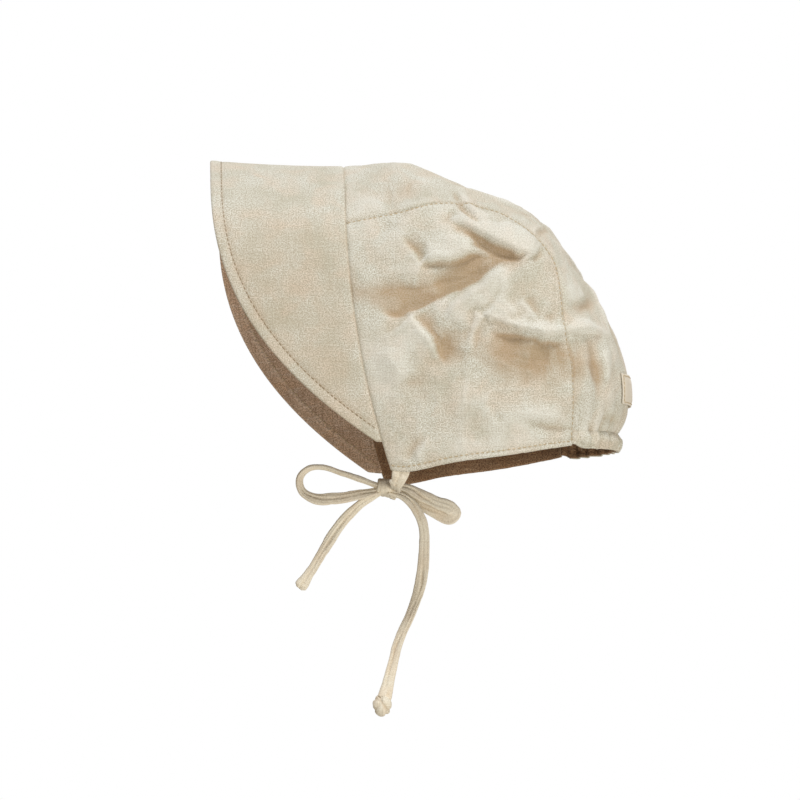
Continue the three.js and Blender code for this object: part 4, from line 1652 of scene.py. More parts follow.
@dataclass
class Brim:
    """The stiffened brim: two cloths over interfacing, with a knife edge and a row of topstitches."""

    form: CrownForm
    folds: FoldField
    stitches: StitchMaker
    materials: dict[str, bpy.types.Material]
    depth: float = 76.0
    top_z: float = 5.0
    end_depth: float = 1.2
    lift: float = 3.2
    lift_reach: float = 30.0
    spread: float = 1.6
    turn_start: float = 0.35
    pivot: Place = (-20.0, -80.0)
    left: BrimHalf = BrimHalf(-160.5, 168, 2.8, 0.0)
    right: BrimHalf = BrimHalf(-170.5, 177, 2.5, 0.07)
    step: float = 1.15
    lining_step: float = 1.3
    length: float = 330.0
    inner: float = 68.0
    close: tuple[float, ...] = (3.2, 4.3, 5.2, 5.8, 6.3, 6.8, 7.4, 8.4)
    stitch_inset: float = 6.3
    spacing: float = 2.9
    painted_shade_depth: float = 0.75

    def rib(self, around: Array, out: Array) -> Array:
        """Points of the brim.

        Args:
            around: from -1 at the right end to 1 at the left end.
            out: from 0 at the seam to 1 at the edge.

        Returns:
            The points.
        """
        left = around > 0
        end_z, fall, taper, turn = (
            np.where(left, getattr(self.left, key), getattr(self.right, key))
            for key in ("end_z", "fall", "taper", "turn")
        )
        seam_z = OUTLINE[0].z + (end_z - OUTLINE[0].z) * np.abs(around) ** self.spread
        points, _ = self.form.frame(self.form.front(seam_z), seam_z, np.where(left, 1.0, -1.0))
        depth = np.maximum(self.end_depth, self.depth * (1 - ((self.top_z - seam_z) / fall) ** taper))
        x = points[..., 0]
        y = points[..., 1] - out * depth
        z = points[..., 2] + self.lift * out**3 * np.exp(-((x / self.lift_reach) ** 2))
        turned = turn * out * ease(np.abs(around), 0, self.turn_start)
        from_y, from_z = y - self.pivot[0], z - self.pivot[1]
        return np.stack([x, y + turned * from_z, z + turned * from_y], axis=-1)

    def cloth(self, step: float) -> Cloth:
        """The brim's grid: rows follow its edge near the edge and its seam near the seam.

        Args:
            step: the grid's step in millimetres.

        Returns:
            The grid.
        """
        around = np.linspace(-1, 1, round(self.length / step) + 1)
        edge = self.rib(around, np.ones_like(around))
        ahead = np.gradient(edge, axis=0)
        inwards = self.rib(around, np.full_like(around, 0.98)) - edge
        slant = np.linalg.norm(np.cross(unit(ahead), unit(inwards)), axis=-1)
        depth = np.linalg.norm(self.rib(around, np.zeros_like(around)) - edge, axis=-1)
        near = np.array(CLOSE + self.close)
        share = near[:, None] / (np.maximum(slant, 0.25) * depth)
        share = share * np.minimum(1, 0.75 / share[-1])
        inner = share[-1] + (1 - share[-1]) * graded(self.inner, step, CLOSE, (False, True))[1:, None]
        share = np.concatenate([share, inner])
        around = np.broadcast_to(around, share.shape)
        points = self.rib(around, 1 - share)
        across, down = np.gradient(points, axis=1), np.gradient(points, axis=0)
        normals = unit(np.cross(across, down))
        outwards = np.stack([points[..., 0], np.zeros_like(share), points[..., 2] + 90], axis=-1)
        normals *= np.where((normals * outwards).sum(axis=-1, keepdims=True) < 0, -1, 1)
        seam = self.rib(around[0], np.zeros_like(around[0]))
        crown_normals = self.form.frame(seam[:, 1], seam[:, 2], np.where(around[0] > 0, 1.0, -1.0))[1]
        to_seam = np.linalg.norm(points - seam, axis=-1)[..., None]
        normals = unit(normals + (crown_normals - normals) * np.exp(-to_seam / 3.0))
        flat = np.stack([points[..., 1], np.broadcast_to(arc_lengths(seam), share.shape)], axis=-1)
        smooth = Cloth(points, normals, flat)
        edges = smooth.edge_distances()
        noise = self.folds.noise
        # Painted shade: the brim's cloth darkens toward tan below its top.
        smooth.shade = -self.painted_shade_depth * ease(-points[..., 2], 12, 48)
        perpendicular = edges["top"] * slant
        heights = 0.3 * noise.at(points + 210, 42) + 0.08 * noise.at(points + 250, 7)
        heights *= ease(edges["bottom"], 0, 10)
        hold = ease(depth, 8, 22)
        heights += TOPSTITCH.heights(np.abs(perpendicular - self.stitch_inset), points, noise) * hold
        heights += 0.16 * bell(perpendicular - 3.2, 1.6) * hold
        heights += BRIM_SEAM.heights(edges["bottom"], points, noise)
        return smooth.lifted(heights, ("bottom",))

    def stitch_line(self, grid: Cloth) -> tuple[Array, Array]:
        """The row of topstitches on the grid.

        Args:
            grid: the brim's grid.

        Returns:
            Points along the row, and the normals there.
        """
        from_edge = grid.edge_distances()["top"]
        ahead = np.gradient(grid.points[0], axis=0)
        slant = np.sqrt(np.maximum(1 - (np.abs(ahead[:, 1]) / np.linalg.norm(ahead, axis=1)) ** 2, 0))
        places, normals = [], []
        for column in range(grid.points.shape[1]):
            deep = from_edge[:, column] * slant[column]
            if deep[-1] > self.stitch_inset + 0.4:
                places.append(read_line(self.stitch_inset, deep, grid.points[:, column]))
                normals.append(grid.normals[np.searchsorted(deep, self.stitch_inset), column])
        return np.array(places), np.array(normals)

    def build(self) -> None:
        """Adds the brim's cloths and topstitches."""
        for layer, step in zip(Layer, (self.step, self.lining_step)):
            grid = self.cloth(step)
            edges = grid.edge_distances()
            brown = layer is Layer.LINING
            material = self.materials["brown" if brown else "cream"]
            name, node = f"brim_{layer.value}_cloth", f"brim_{layer.value}"
            piece = add_layer(name, grid, layer, edges["top"], material, node)
            grid.area()
            line, normals = self.stitch_line(grid)
            if brown:
                line, normals = line + normals * LAYERS.lining[1], -normals
            row = self.stitches.row(f"brim_stitches_{layer.value}", line, normals, self.spacing, 41)
            dress(row, self.materials["cream_thread" if brown else "brown_thread"])


# ---- The nape ----


NAPE_PULL = 1.15


def nape_gathers(across: Array) -> Array:
    """The nape's gathers: uneven round lobes, with sharp creases between them.

    Args:
        across: places from -1 at the right end to 1 at the left end.

    Returns:
        How far each place stands out, below nothing in the creases.
    """
    chance = np.random.default_rng(5)
    knots = np.linspace(-1.05, 1.05, 22)
    wander = np.interp(across, knots, chance.normal(0, 0.2, len(knots)))
    size = np.interp(across, knots, chance.uniform(0.55, 1.25, len(knots)))
    lobe = np.abs(np.sin((across * 6.5 + wander) * np.pi)) ** 0.7
    return (2 * lobe - 1.2) * size * 0.8


@dataclass
class Nape:
    """The casing at the nape, gathered on elastic, and the blank woven label over it."""

    form: CrownForm
    folds: FoldField
    stitches: StitchMaker
    materials: dict[str, bpy.types.Material]
    crown: "Crown"
    height: float = 10.5
    length: float = 132.0
    step: float = 0.45
    lining_step: float = 0.9
    end_share: float = 0.24
    puff: float = 2.0
    gather: float = 2.1
    reach: float = 1.0
    overlap: float = 0.8
    label_reach: float = 0.4
    label_along: Place = (26 / 30, 28 / 30)
    label_thickness: float = 0.7

    def casing_cloth(self, step: float) -> Cloth:
        """The casing's grid.

        Args:
            step: the grid's step in millimetres.

        Returns:
            The grid.
        """
        across = np.linspace(-self.reach, self.reach, round(self.length / step))
        down = graded(self.height, min(step, 0.6), CLOSE[:5], (True, True))
        u, v = np.meshgrid(across, down)
        noise = self.folds.noise
        crown = self.crown.center_cloth(Crown.step)
        shares = graded(self.crown.center_size[0], Crown.step, CLOSE, (True, True)) * 2 - 1
        edge, lean = (read_line(across, shares, row) for row in (crown.points[-1], crown.normals[-1]))
        outwards = unit(lean * np.array([1.0, 1.0, 0.0]))
        arc = arc_lengths(edge)
        end = ease(np.minimum(arc, arc[-1] - arc), 0, 7)
        gathers = nape_gathers(u) * end
        wrinkles = noise.at(np.stack([u * 62, v * 9, v * 0 + 330], axis=-1), (1.9, 4.0, 1.0))
        belly = np.sin(v * np.pi) ** 0.7
        frill = ease(v, 0.8, 1.0)
        out = belly * (self.puff * (0.25 + 0.75 * end) + self.gather * gathers + 0.7 * wrinkles * end)
        out = out + frill * (0.4 * gathers + 0.3)
        out = out + 0.2 * noise.at(np.stack([u * 62, v * 9, v * 0], axis=-1), 3.0) * belly
        turn = ease(v, 0, 0.4)[..., None]
        facing = unit(lean * (1 - turn) + outwards * turn)
        points = edge + facing * out[..., None]
        drop = self.height * (1 - self.end_share * (1 - end))
        points[..., 2] -= v * drop + frill * 0.2 * gathers + 0.5 * belly * wrinkles
        for last, beside in ((0, 2), (-1, -3)):
            points[:, last] += self.overlap * unit(points[:, last] - points[:, beside])
        flat = np.stack([np.broadcast_to(arc, v.shape) * 1.1, -v * self.height * 1.2], axis=-1)
        smooth = Cloth(points, facing, flat)
        edges = smooth.edge_distances()
        heights = TOPSTITCH.heights(np.abs(edges["bottom"] - 2.2), points, noise) * 0.8
        return smooth.lifted(heights, ("top",))

    def label_cloth(self) -> Cloth:
        """Lays the label on the center panel.

        Returns:
            Its grid.
        """
        across = np.linspace(-self.label_reach, self.label_reach, 64)
        along = np.linspace(*self.label_along, 26)
        u, v = np.meshgrid(across, along)
        points, normals = self.form.center(u, v)
        smooth = Cloth(points, normals, np.zeros(points.shape[:2] + (2,)))
        edges = smooth.edge_distances()
        smooth.flat = np.stack([edges["left"], edges["top"]], axis=-1)
        nearest = np.minimum.reduce(list(edges.values()))
        lift = 1.0 + 0.35 * ease(nearest, 0, 4) - 0.25 * bell(nearest - 1.3, 0.5)
        return smooth.lifted(lift + 0.15 * self.folds.noise.at(points, 9), ())

    def build(self) -> None:
        """Adds the casing's cloths and the label."""
        nodes = ("nape_casing", "nape_casing_lining")
        for layer, node, step in zip(Layer, nodes, (self.step, self.lining_step)):
            grid = self.casing_cloth(step)
            edges = grid.edge_distances()
            material = self.materials["cream" if layer is Layer.OUTER else "shaded_inner_brown"]
            piece = add_layer(f"casing_{layer.value}_cloth", grid, layer, edges["bottom"], material, node)
        label = self.label_cloth()
        thick = np.full(label.points.shape[:2], self.label_thickness)
        piece = closed_shell("woven_label", label, thick, np.zeros_like(thick))
        dress(piece, self.materials["label"], ["back_label"])
        edges = label.edge_distances()
        inset = 2
        low, right = (count - 1 - inset for count in label.points.shape[:2])
        places = [(inset, column) for column in range(inset, right + 1)]
        places += [(row, right) for row in range(inset + 1, low)]
        places += [(low, column) for column in range(right, inset - 1, -1)]
        places += [(row, inset) for row in range(low - 1, inset, -1)]
        line = np.array([label.points[p] + label.normals[p] * self.label_thickness for p in places])
        normals = np.array([label.normals[p] for p in places])
        row = self.stitches.row("label_stitches", line, normals, 2.4, 51)
        dress(row, self.materials["cream_thread"])


# ---- The tie ----


@dataclass(frozen=True)
class TapeRow:
    """The tie at a share of its stretch: width, thickness, and turn in degrees. At no turn it is
    edge-on from the wearer's left. offset moves it sideways off its route."""

    share: float
    width: float
    thickness: float
    turn: float
    offset: float = 0.0


@dataclass(frozen=True)
class Stretch:
    """A stretch of the tie, by its route in metres."""

    name: str
    node: str
    route: tuple[Point, ...]
    rows: tuple[TapeRow, ...]
    across: Point = (1.0, 0.0, 0.0)


TIE_LEFT = Stretch(
    "tie_strap_left", "tie_left",
    (
        (0.049, -0.0049, -0.1827), (0.036, -0.0036, -0.1848), (0.02, -0.003, -0.1842),
        (0.0051, -0.0051, -0.1819),
    ),
    (TapeRow(0, 5.6, 2.6, 10), TapeRow(0.5, 5.6, 2.4, 35), TapeRow(1, 5.0, 3.0, 30)),
    (0.0, 1.0, 0.0),
)
TIE_RIGHT = Stretch(
    "tie_strap_right", "tie_right",
    (
        (-0.0497, -0.0048, -0.1827), (-0.036, -0.007, -0.1843), (-0.02, -0.0086, -0.1842),
        (-0.0061, -0.009, -0.1826),
    ),
    (TapeRow(0, 5.6, 2.2, -4), TapeRow(0.5, 5.4, 2.0, -8), TapeRow(1, 5.0, 2.6, 0)),
    (0.0, 1.0, 0.0),
)
LOOP_FRONT = Stretch(
    "bow_loop_front_tape", "bow_loop_front",
    (
        (0.0024, -0.0138, -0.1809), (0.0024, -0.025, -0.177), (0.0024, -0.035, -0.1737),
        (0.0024, -0.044, -0.171), (0.0024, -0.052, -0.1718), (0.0024, -0.057, -0.177),
        (0.0024, -0.0556, -0.1846), (0.0024, -0.048, -0.189), (0.0024, -0.036, -0.1886),
        (0.0024, -0.025, -0.187), (0.0024, -0.0135, -0.1847),
    ),
    (
        TapeRow(0, 4.0, 3.0, 18), TapeRow(0.2, 5.2, 2.6, 14), TapeRow(0.38, 5.8, 2.5, 16),
        TapeRow(0.55, 6.0, 2.3, 48), TapeRow(0.7, 6.8, 2.2, 82), TapeRow(0.88, 6.2, 2.3, 84),
        TapeRow(1, 4.0, 2.8, 60),
    ),
)
LOOP_BACK = Stretch(
    "bow_loop_back_tape", "bow_loop_back",
    (
        (-0.0004, -0.004, -0.1807), (-0.0004, 0.004, -0.1822), (-0.0004, 0.011, -0.1854),
        (-0.0008, 0.022, -0.1904), (-0.0016, 0.0286, -0.1934), (-0.0026, 0.0312, -0.1966),
        (-0.0036, 0.0284, -0.1994), (-0.0042, 0.021, -0.197), (-0.0044, 0.012, -0.1926),
        (-0.0044, 0.004, -0.188), (-0.0041, -0.0049, -0.1841),
    ),
    (
        TapeRow(0, 4.4, 2.8, 50, 0.4), TapeRow(0.16, 6.6, 2.4, 74, 0.8), TapeRow(0.36, 7.4, 2.3, 80, 0.8),
        TapeRow(0.44, 8.6, 2.3, 82, -0.1), TapeRow(0.5, 7.6, 2.3, 82, 0.5), TapeRow(0.56, 8.6, 2.3, 82, -0.1),
        TapeRow(0.66, 7.0, 2.3, 82, 0.9), TapeRow(0.84, 6.2, 2.4, 80, 0.9), TapeRow(1, 4.4, 2.8, 60, 0.4),
    ),
)
TAIL_FRONT = Stretch(
    "tie_tail_front_tape", "tie_tail_front",
    (
        (-0.0026, -0.0127, -0.1854), (-0.0026, -0.0206, -0.1902), (-0.0026, -0.027, -0.1956),
        (-0.0026, -0.0334, -0.2026), (-0.0026, -0.0388, -0.2104), (-0.0026, -0.044, -0.219),
        (-0.0026, -0.049, -0.2274), (-0.0026, -0.0524, -0.2324),
    ),
    (
        TapeRow(0, 3.8, 2.8, 55), TapeRow(0.25, 5.6, 2.4, 74), TapeRow(0.6, 6.4, 2.2, 82),
        TapeRow(0.85, 5.6, 2.3, 88), TapeRow(1, 5.6, 2.3, 90),
    ),
)
TAIL_BACK = Stretch(
    "tie_tail_back_tape", "tie_tail_back",
    (
        (0.0034, -0.0051, -0.1852), (0.0034, 0.002, -0.1878), (0.0034, 0.0078, -0.1932),
        (0.0034, 0.0118, -0.2), (0.0034, 0.0136, -0.2074), (0.0034, 0.0136, -0.218),
        (0.0034, 0.0126, -0.231), (0.0034, 0.01, -0.243), (0.0034, 0.0058, -0.2546),
        (0.0034, 0.0014, -0.264), (0.0034, -0.002, -0.2736), (0.0034, -0.0044, -0.2834),
        (0.0034, -0.0066, -0.2926), (0.0034, -0.0086, -0.3005),
    ),
    (
        TapeRow(0, 4.0, 2.8, 50), TapeRow(0.12, 5.6, 2.4, 66), TapeRow(0.3, 6.0, 2.3, 80),
        TapeRow(0.45, 7.0, 2.2, 92), TapeRow(0.62, 5.6, 2.4, 118), TapeRow(0.8, 5.8, 2.3, 100),
        TapeRow(0.92, 6.2, 2.7, 90), TapeRow(1, 8.2, 5.2, 90),
    ),
)


BLUNT_END = (
    (-2.6, -50.6, -229.5), (-2.6, -52.4, -232.4), (-2.6, -54.4, -235.6), (-2.6, -56.6, -238.6),
    (-2.6, -57.4, -239.6),
)


def tube_faces(rings: int, sides: int) -> Array:
    """The faces of a tube of rings of vertices, as quads."""
    index = np.arange(rings * sides).reshape(rings, sides)
    following = np.roll(index, -1, axis=1)
    return np.stack([index[:-1], following[:-1], following[1:], index[1:]], axis=-1).reshape(-1, 4)


def cap_faces(start: int, sides: int, center: int) -> list[list[int]]:
    """The triangles of a fan between a ring of vertices, from start on, and a center."""
    return [[start + (k + 1) % sides, start + k, center] for k in range(sides)]


@dataclass
class Tie:
    """The chin tie: a narrow sewn tube pressed flat and tied in a bow, with a knot on its back tail."""

    noise: ClothNoise
    materials: dict[str, bpy.types.Material]
    sides: int = 52
    step: float = 0.8
    blur: int = 6
    crease: float = 0.95
    knot: Point = (0.0, -9.0, -182.0)
    ball: Point = (3.4, -10.1, -306.2)
    ball_radii: Point = (5.1, 5.5, 6.3)
    ball_wraps: tuple[tuple[float, ...], ...] = (
        (0.35, 0.75, 0.6, 0.42, 1.0), (-0.3, 0.7, 0.55, -0.25, 0.8), (0.2, -0.9, 0.5, 0.55, 0.7),
    )

    def sweep(
        self, name: str, line: Array, rows: dict[str, Array], across: Point, node: str = ""
    ) -> bpy.types.Object:
        """Adds a flattened tube along a line, pressed into lengthwise creases.

        Args:
            name: the object's name.
            line: its centreline in millimetres.
            rows: its width, thickness, turn in degrees and offset at each point.
            across: the direction of its width at no turn.
            node: the CAD node that it stands for, if any.

        Returns:
            The closed object.
        """
        ahead = unit(np.gradient(line, axis=0))
        wide = unit(np.array(across) - (ahead @ np.array(across))[:, None] * ahead)
        thick = np.cross(ahead, wide)
        angle = np.radians(rows["turn"])[:, None]
        turned = wide * np.cos(angle) + thick * np.sin(angle)
        wide, thick = turned, thick * np.cos(angle) - wide * np.sin(angle)
        around = np.linspace(0, 2 * np.pi, self.sides, endpoint=False)
        flat_x = np.sign(np.cos(around)) * np.abs(np.cos(around)) ** 0.85
        flat_y = np.sign(np.sin(around)) * np.abs(np.sin(around)) ** 0.66
        along = arc_lengths(line)
        seed = np.stack([along, along * 0 + 7 + line[0].sum(), along * 0], axis=-1)
        drift = 0.34 * self.noise.at(seed, 13)[:, None]
        depth = 0.55 + 0.45 * self.noise.at(seed + 60, 10)[:, None]
        fold = bell(flat_x[None] - drift - 0.12, 0.15) * (1.5 * depth - 0.15)
        fold += 0.45 * bell(flat_x[None] + 0.52 - 0.8 * drift, 0.12) * (1.0 - depth)
        fold += 0.2 * bell(flat_x[None] - 0.62 - 0.5 * drift, 0.1) * depth
        place_x = flat_x * rows["width"][:, None] / 2 + rows["offset"][:, None]
        half = rows["thickness"][:, None] / 2
        place_y = flat_y * half - np.sign(flat_y) * np.minimum(fold * self.crease, 0.7 * half)
        points = line[:, None] + place_x[..., None] * wide[:, None] + place_y[..., None] * thick[:, None]
        wobble = self.noise.at(points, 2.6) * 0.13 + self.noise.at(points + 40, 8) * 0.28
        points = points + unit(points - line[:, None]) * wobble[..., None]
        rings = len(line)
        size = rings * self.sides
        faces = tube_faces(rings, self.sides).tolist() + cap_faces(0, self.sides, size)
        faces += [[b, a, c] for a, b, c in cap_faces(size - self.sides, self.sides, size + 1)]
        closed = np.concatenate([points.reshape(-1, 3), points[[0, -1]].mean(axis=1)])
        lengths = np.repeat(along, self.sides)
        girth = np.tile(np.linspace(0, 2 * rows["width"].mean(), self.sides), rings)
        flat = np.concatenate([np.stack([lengths, girth], axis=-1), [[0, 0], [along[-1], 0]]])
        # The relief paints shade into the pressed creases and light onto the rest of the tape and its swells.
        relief = np.append((0.5 - 1.3 * fold + 0.5 * wobble).ravel(), [0, 0])
        made = mesh_object(name, closed, faces, flat, relief)
        dress(made, self.materials["tie"], [node] if node else [])
        return made

    @staticmethod
    def even_rows(
        count: int, width: float | Array, thickness: float | Array, turn: float | Array
    ) -> dict[str, Array]:
        """Rows for a sweep from values that hold along it, or are given for each point."""
        zero = np.zeros(count)
        return {"width": zero + width, "thickness": zero + thickness, "turn": zero + turn, "offset": zero}

    def add_stretch(self, stretch: Stretch, tuck: tuple[float, float]) -> tuple[bpy.types.Object, Array]:
        """Adds a stretch of the tie.

        Args:
            stretch: its route and rows.
            tuck: how far it runs on into a knot at its start and at its end.

        Returns:
            The piece and its centreline in metres.
        """
        route = np.array(stretch.route) / MM
        length = float(np.linalg.norm(np.diff(route, axis=0), axis=1).sum())
        line = smooth_line(route, round(length / self.step))
        share = np.linspace(0, 1, len(line))
        start, end = unit(line[0] - line[2]), unit(line[-1] - line[-3])
        steps = [round(reach / self.step) for reach in tuck]
        before = [line[0] + start * self.step * k for k in range(steps[0], 0, -1)]
        after = [line[-1] + end * self.step * k for k in range(1, steps[1] + 1)]
        line = np.array(before + list(line) + after)
        places = [row.share for row in stretch.rows]
        rows = {}
        for key in ("width", "thickness", "turn", "offset"):
            values = np.interp(share, places, [getattr(row, key) for row in stretch.rows])
            even = np.ones(2 * self.blur + 1) / (2 * self.blur + 1)
            values = np.convolve(np.pad(values, self.blur, mode="edge"), even, "valid")
            rows[key] = np.pad(values, steps, mode="edge")
        return self.sweep(stretch.name, line, rows, stretch.across, stretch.node), line * MM

    def add_bow_knot(self) -> None:
        """Adds the bow's knot: a band wrapped once round the gathered stretches, over its core."""
        angle = np.linspace(-np.pi + 0.05, np.pi - 0.05, 80)
        barrel = np.stack([5.0 * np.cos(angle), 0.5 * np.sin(angle), 3.5 * np.sin(angle)], axis=-1)
        line = barrel + np.array(self.knot) + np.array([0.4, 0.2, 0.3])
        rows = self.even_rows(len(line), 8.4 - 0.5 * np.cos(angle * 2), 2.6, 5 * np.sin(angle))
        self.sweep("bow_knot_band", line, rows, (0.0, 1.0, 0.0), "bow_knot")
        core = np.array(self.knot) + np.linspace([-0.4, -3.9, 0.5], [-0.4, 3.9, 0.1], 16)
        self.sweep("bow_knot_core", core, self.even_rows(len(core), 8.2, 5.4, 0), (1.0, 0.0, 0.0))

    def add_ball_knot(self) -> bpy.types.Object:
        """Adds the overhand knot that ends the back tail.

        Returns:
            The object.
        """
        rows, columns = 44, 72
        heights, turns = np.linspace(0, np.pi, rows)[1:-1], np.arange(columns) * 2 * np.pi / columns
        rise, turn = np.meshgrid(heights, turns, indexing="ij")
        out = np.stack([np.sin(rise) * np.cos(turn), np.sin(rise) * np.sin(turn), np.cos(rise)], axis=-1)
        out = np.concatenate([out.reshape(-1, 3), [[0, 0, 1], [0, 0, -1]]])
        groove = np.zeros(len(out))
        for wrap in self.ball_wraps:
            groove = np.maximum(groove, wrap[4] * bell(out @ unit(np.array(wrap[:3])) - wrap[3], 0.11))
        wobble = 0.35 * self.noise.at(out * 5 + 800, 3.4) + 0.12 * self.noise.at(out * 5 + 840, 1.5)
        radii = np.array(self.ball_radii) - groove[:, None] + wobble[:, None]
        points = out * radii + np.array(self.ball)
        top = rise.size
        faces = tube_faces(rows - 2, columns)[:, [0, 3, 2, 1]].tolist()
        faces += [[b, a, c] for a, b, c in cap_faces(0, columns, top)]
        faces += cap_faces(top - columns, columns, top + 1)
        flat = np.stack([np.append(turn.ravel(), [0, 0]), np.append(rise.ravel(), [0, np.pi])], axis=-1)
        # The relief paints shade into the knot's grooves and light onto the rest of it.
        relief = 0.5 - 1.8 * groove + 0.5 * wobble
        piece = mesh_object("tail_knot_back_wrap", points, faces, flat * self.ball_radii[0], relief)
        dress(piece, self.materials["tie"], ["tail_knot_back"])
        return piece

    def add_blunt_end(self) -> bpy.types.Object:
        """Adds the folded, blunt end of the front tail.

        Returns:
            The object.
        """
        line = smooth_line(BLUNT_END, 26)
        share = np.linspace(0, 1, len(line))
        widths = (5.4 + 2.2 * ease(share, 0.1, 0.8)) * (1 - 0.45 * ease(share, 0.88, 1.0))
        thicknesses = (1.9 + 2.3 * ease(share, 0.1, 0.6)) * (1 - 0.55 * ease(share, 0.85, 1.0))
        rows = self.even_rows(len(line), widths, thicknesses, 90 - 16 * share)
        return self.sweep("tail_end_front", line, rows, (1.0, 0.0, 0.0), "tail_knot_front")

    def add_root(self, side: Side) -> None:
        """Adds the pleated end of the tie, sewn under a front corner of the crown.

        Args:
            side: which corner.
        """
        node = f"tie_root_{side.name.lower()}"
        low, high = (np.array(corner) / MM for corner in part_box(node))
        middle = (low + high) / 2
        span = high - low
        share = np.linspace(0, 1, 30)
        x = middle[0] - side.value * 3.4 * share**2
        y = middle[1] + 1.9 - 2.6 * share**1.4
        z = high[2] + 2.6 - (span[2] + 2.2) * share
        rows = self.even_rows(len(share), 10.2 - 4.0 * share**1.5, 2.4 + 1.5 * np.sin(share * np.pi), 90)
        name = f"tie_end_{side.name.lower()}"
        self.sweep(name, np.stack([x, y, z], axis=-1), rows, (1.0, 0.0, 0.0), node)

    def build(self) -> None:
        """Adds the whole tie."""
        for side in Side:
            self.add_root(side)
        for strap in (TIE_LEFT, TIE_RIGHT):
            self.add_stretch(strap, (0.8, 1.6))
        self.add_bow_knot()
        ends = {TAIL_FRONT.name: self.add_blunt_end(), TAIL_BACK.name: self.add_ball_knot()}
        for stretch in (LOOP_FRONT, LOOP_BACK, TAIL_FRONT, TAIL_BACK):
            piece, line = self.add_stretch(stretch, (1.6, 1.6))


# ---- Studio ----


@dataclass(frozen=True)
class Softbox:
    """A large, even studio light, by the direction that it comes from."""

    name: str
    toward: Point
    spread: float
    strength: float
    colour: str


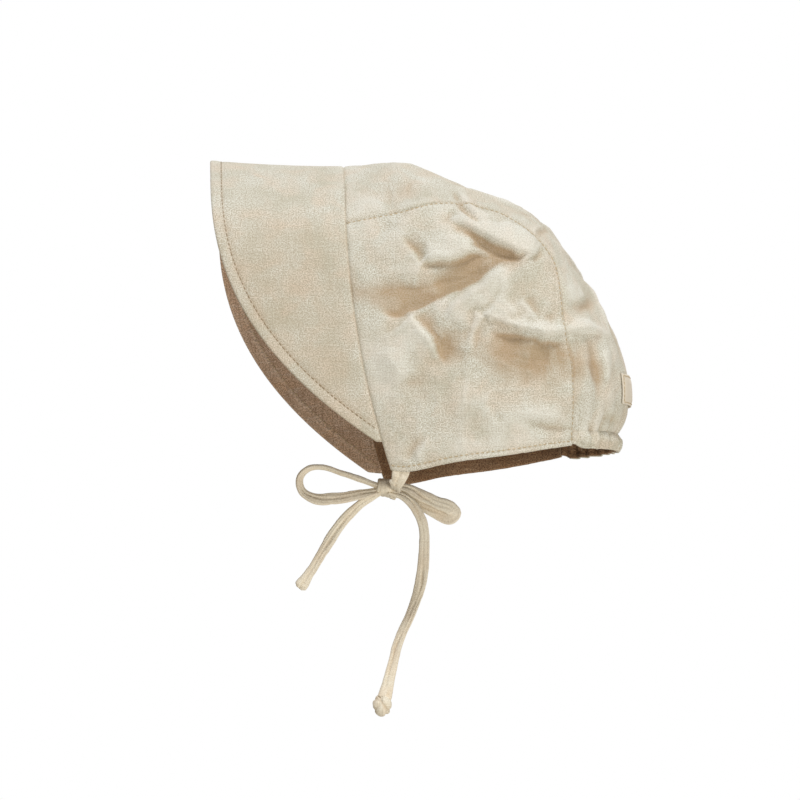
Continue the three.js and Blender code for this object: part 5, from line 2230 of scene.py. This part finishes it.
@dataclass
class Studio:
    """The floor, the lights and the camera."""

    middle: Point = (0.0, 0.0, -0.13224)
    azimuth: float = 88.0
    elevation: float = -5.0
    distance: float = 3.0
    frame_width: float = 0.456
    sensor: float = 36.0
    floor_drop: float = 0.16
    ambient: str = "#fff4e4"
    ambient_strength: float = 0.24
    bounce: float = 0.3
    lights: tuple[Softbox, ...] = (
        Softbox("key_softbox", (0.5, -0.15, 1.0), 14.0, 1.95, "#fdfdff"),
        Softbox("top_softbox", (0.1, 0.1, 1.0), 24.0, 0.45, "#fbfcff"),
        Softbox("side_softbox", (0.85, 0.95, 0.0), 40.0, 0.6, "#fffefa"),
        Softbox("low_softbox", (0.9, 0.15, -0.7), 40.0, 0.95, "#fffdf8"),
        Softbox("nape_softbox", (0.6, 0.9, -0.5), 40.0, 0.6, "#fffdf8"),
        Softbox("back_softbox", (-0.9, 0.3, 0.5), 50.0, 0.9, "#fffaf2"),
    )

    def add_camera(self) -> None:
        """Adds the camera at the bonnet's left side, a little below its middle."""
        camera = bpy.data.cameras.new("studio_camera")
        camera.sensor_width = self.sensor
        camera.lens = self.sensor * self.distance / self.frame_width
        camera.clip_end = 50.0
        holder = new_object("studio_camera", camera)
        turn, rise = math.radians(self.azimuth), math.radians(self.elevation)
        toward = Vector((math.sin(turn) * math.cos(rise), -math.cos(turn) * math.cos(rise), math.sin(rise)))
        holder.location = Vector(self.middle) + toward * self.distance
        holder.rotation_euler = toward.to_track_quat("Z", "Y").to_euler()
        bpy.context.scene.camera = holder

    def add_lights(self) -> None:
        """Adds the softboxes and the pale surroundings."""
        for light in self.lights:
            data = bpy.data.lights.new(light.name, "SUN")
            data.energy = light.strength
            data.angle = math.radians(light.spread)
            data.color = linear(light.colour)[:3]
            holder = new_object(light.name, data)
            holder.rotation_euler = Vector(light.toward).to_track_quat("Z", "Y").to_euler()
        world = bpy.data.worlds.new("pale_studio")
        world.use_nodes = True
        tree = world.node_tree
        tree.nodes.clear()
        path = add_node(tree, "ShaderNodeLightPath")
        inputs = {"Color": linear(self.ambient), "Strength": self.ambient_strength}
        soft = add_node(tree, "ShaderNodeBackground", inputs)
        plain = add_node(tree, "ShaderNodeBackground", {"Color": linear("#ffffff"), "Strength": 1.0})
        inputs = {0: path.outputs["Is Camera Ray"], 1: soft.outputs[0], 2: plain.outputs[0]}
        mixed = add_node(tree, "ShaderNodeMixShader", inputs)
        add_node(tree, "ShaderNodeOutputWorld", {"Surface": mixed.outputs[0]})
        bpy.context.scene.world = world

    def add_floor(self, lowest: float) -> None:
        """Adds the floor.

        Args:
            lowest: the bonnet's lowest height, which the floor stays below.
        """
        deselect_all()
        bpy.ops.mesh.primitive_plane_add(size=14.0, location=(0, 0, 0))
        floor = bpy.context.active_object
        floor.name = "studio_floor"
        floor.data.transform(Matrix.Translation((0, 0, lowest - self.floor_drop)))
        floor.visible_shadow = False
        made, tree = new_material("matt_paper")
        tree.nodes.clear()
        place = add_node(tree, "ShaderNodeTexCoord").outputs["Object"]
        noise = add_node(tree, "ShaderNodeTexNoise", {"Vector": place, "Scale": 3.0, "Detail": 2.0})
        inputs = {0: noise.outputs["Fac"], 6: linear("#ffffff"), 7: linear("#fdfdfc")}
        colour = add_node(tree, "ShaderNodeMix", inputs, data_type="RGBA")
        seen = add_node(tree, "ShaderNodeBsdfDiffuse", {"Color": colour.outputs[2]})
        glow = add_node(tree, "ShaderNodeEmission", {"Strength": 0.12})
        paper = add_node(tree, "ShaderNodeAddShader", {0: seen.outputs[0], 1: glow.outputs[0]})
        # To all but the camera, the paper is dimmer and warmer.
        warm = (self.bounce, self.bounce * 0.9, self.bounce * 0.74, 1)
        dim = add_node(tree, "ShaderNodeBsdfDiffuse", {"Color": warm})
        path = add_node(tree, "ShaderNodeLightPath")
        inputs = {0: path.outputs["Is Camera Ray"], 1: dim.outputs[0], 2: paper.outputs[0]}
        mixed = add_node(tree, "ShaderNodeMixShader", inputs)
        add_node(tree, "ShaderNodeOutputMaterial", {"Surface": mixed.outputs[0]})
        floor.data.materials.append(made)
        floor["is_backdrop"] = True

    def build(self, lowest: float) -> None:
        """Adds the camera, the lights and the floor.

        Args:
            lowest: the bonnet's lowest height.
        """
        self.add_camera()
        self.add_lights()
        self.add_floor(lowest)
        bpy.context.scene.view_settings.view_transform = "Standard"


def main() -> None:
    """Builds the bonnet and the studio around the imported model."""
    logging.basicConfig(level=logging.INFO, format="%(name)s: %(message)s")
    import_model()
    cad_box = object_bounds()
    form = CrownForm()
    folds = FoldField(form)
    materials = {
        "cream": CREAM_CLOTH.material(),
        "brown": BROWN_CLOTH.material(),
        "shaded_inner_brown": SHADED_BROWN_CLOTH.material(),
        "tie": TIE_CLOTH.material(),
        "label": LABEL_TAPE.material(),
        "cream_thread": CREAM_THREAD.material(),
        "brown_thread": BROWN_THREAD.material(),
    }
    Studio().build(cad_box[0][2])
    Tie(folds.noise, materials).build()
    stitches = StitchMaker()
    crown = Crown(form, folds, stitches, materials)
    crown.build()
    Brim(form, folds, stitches, materials).build()
    Nape(form, folds, stitches, materials, crown).build()


if __name__ == "__main__":
    main()
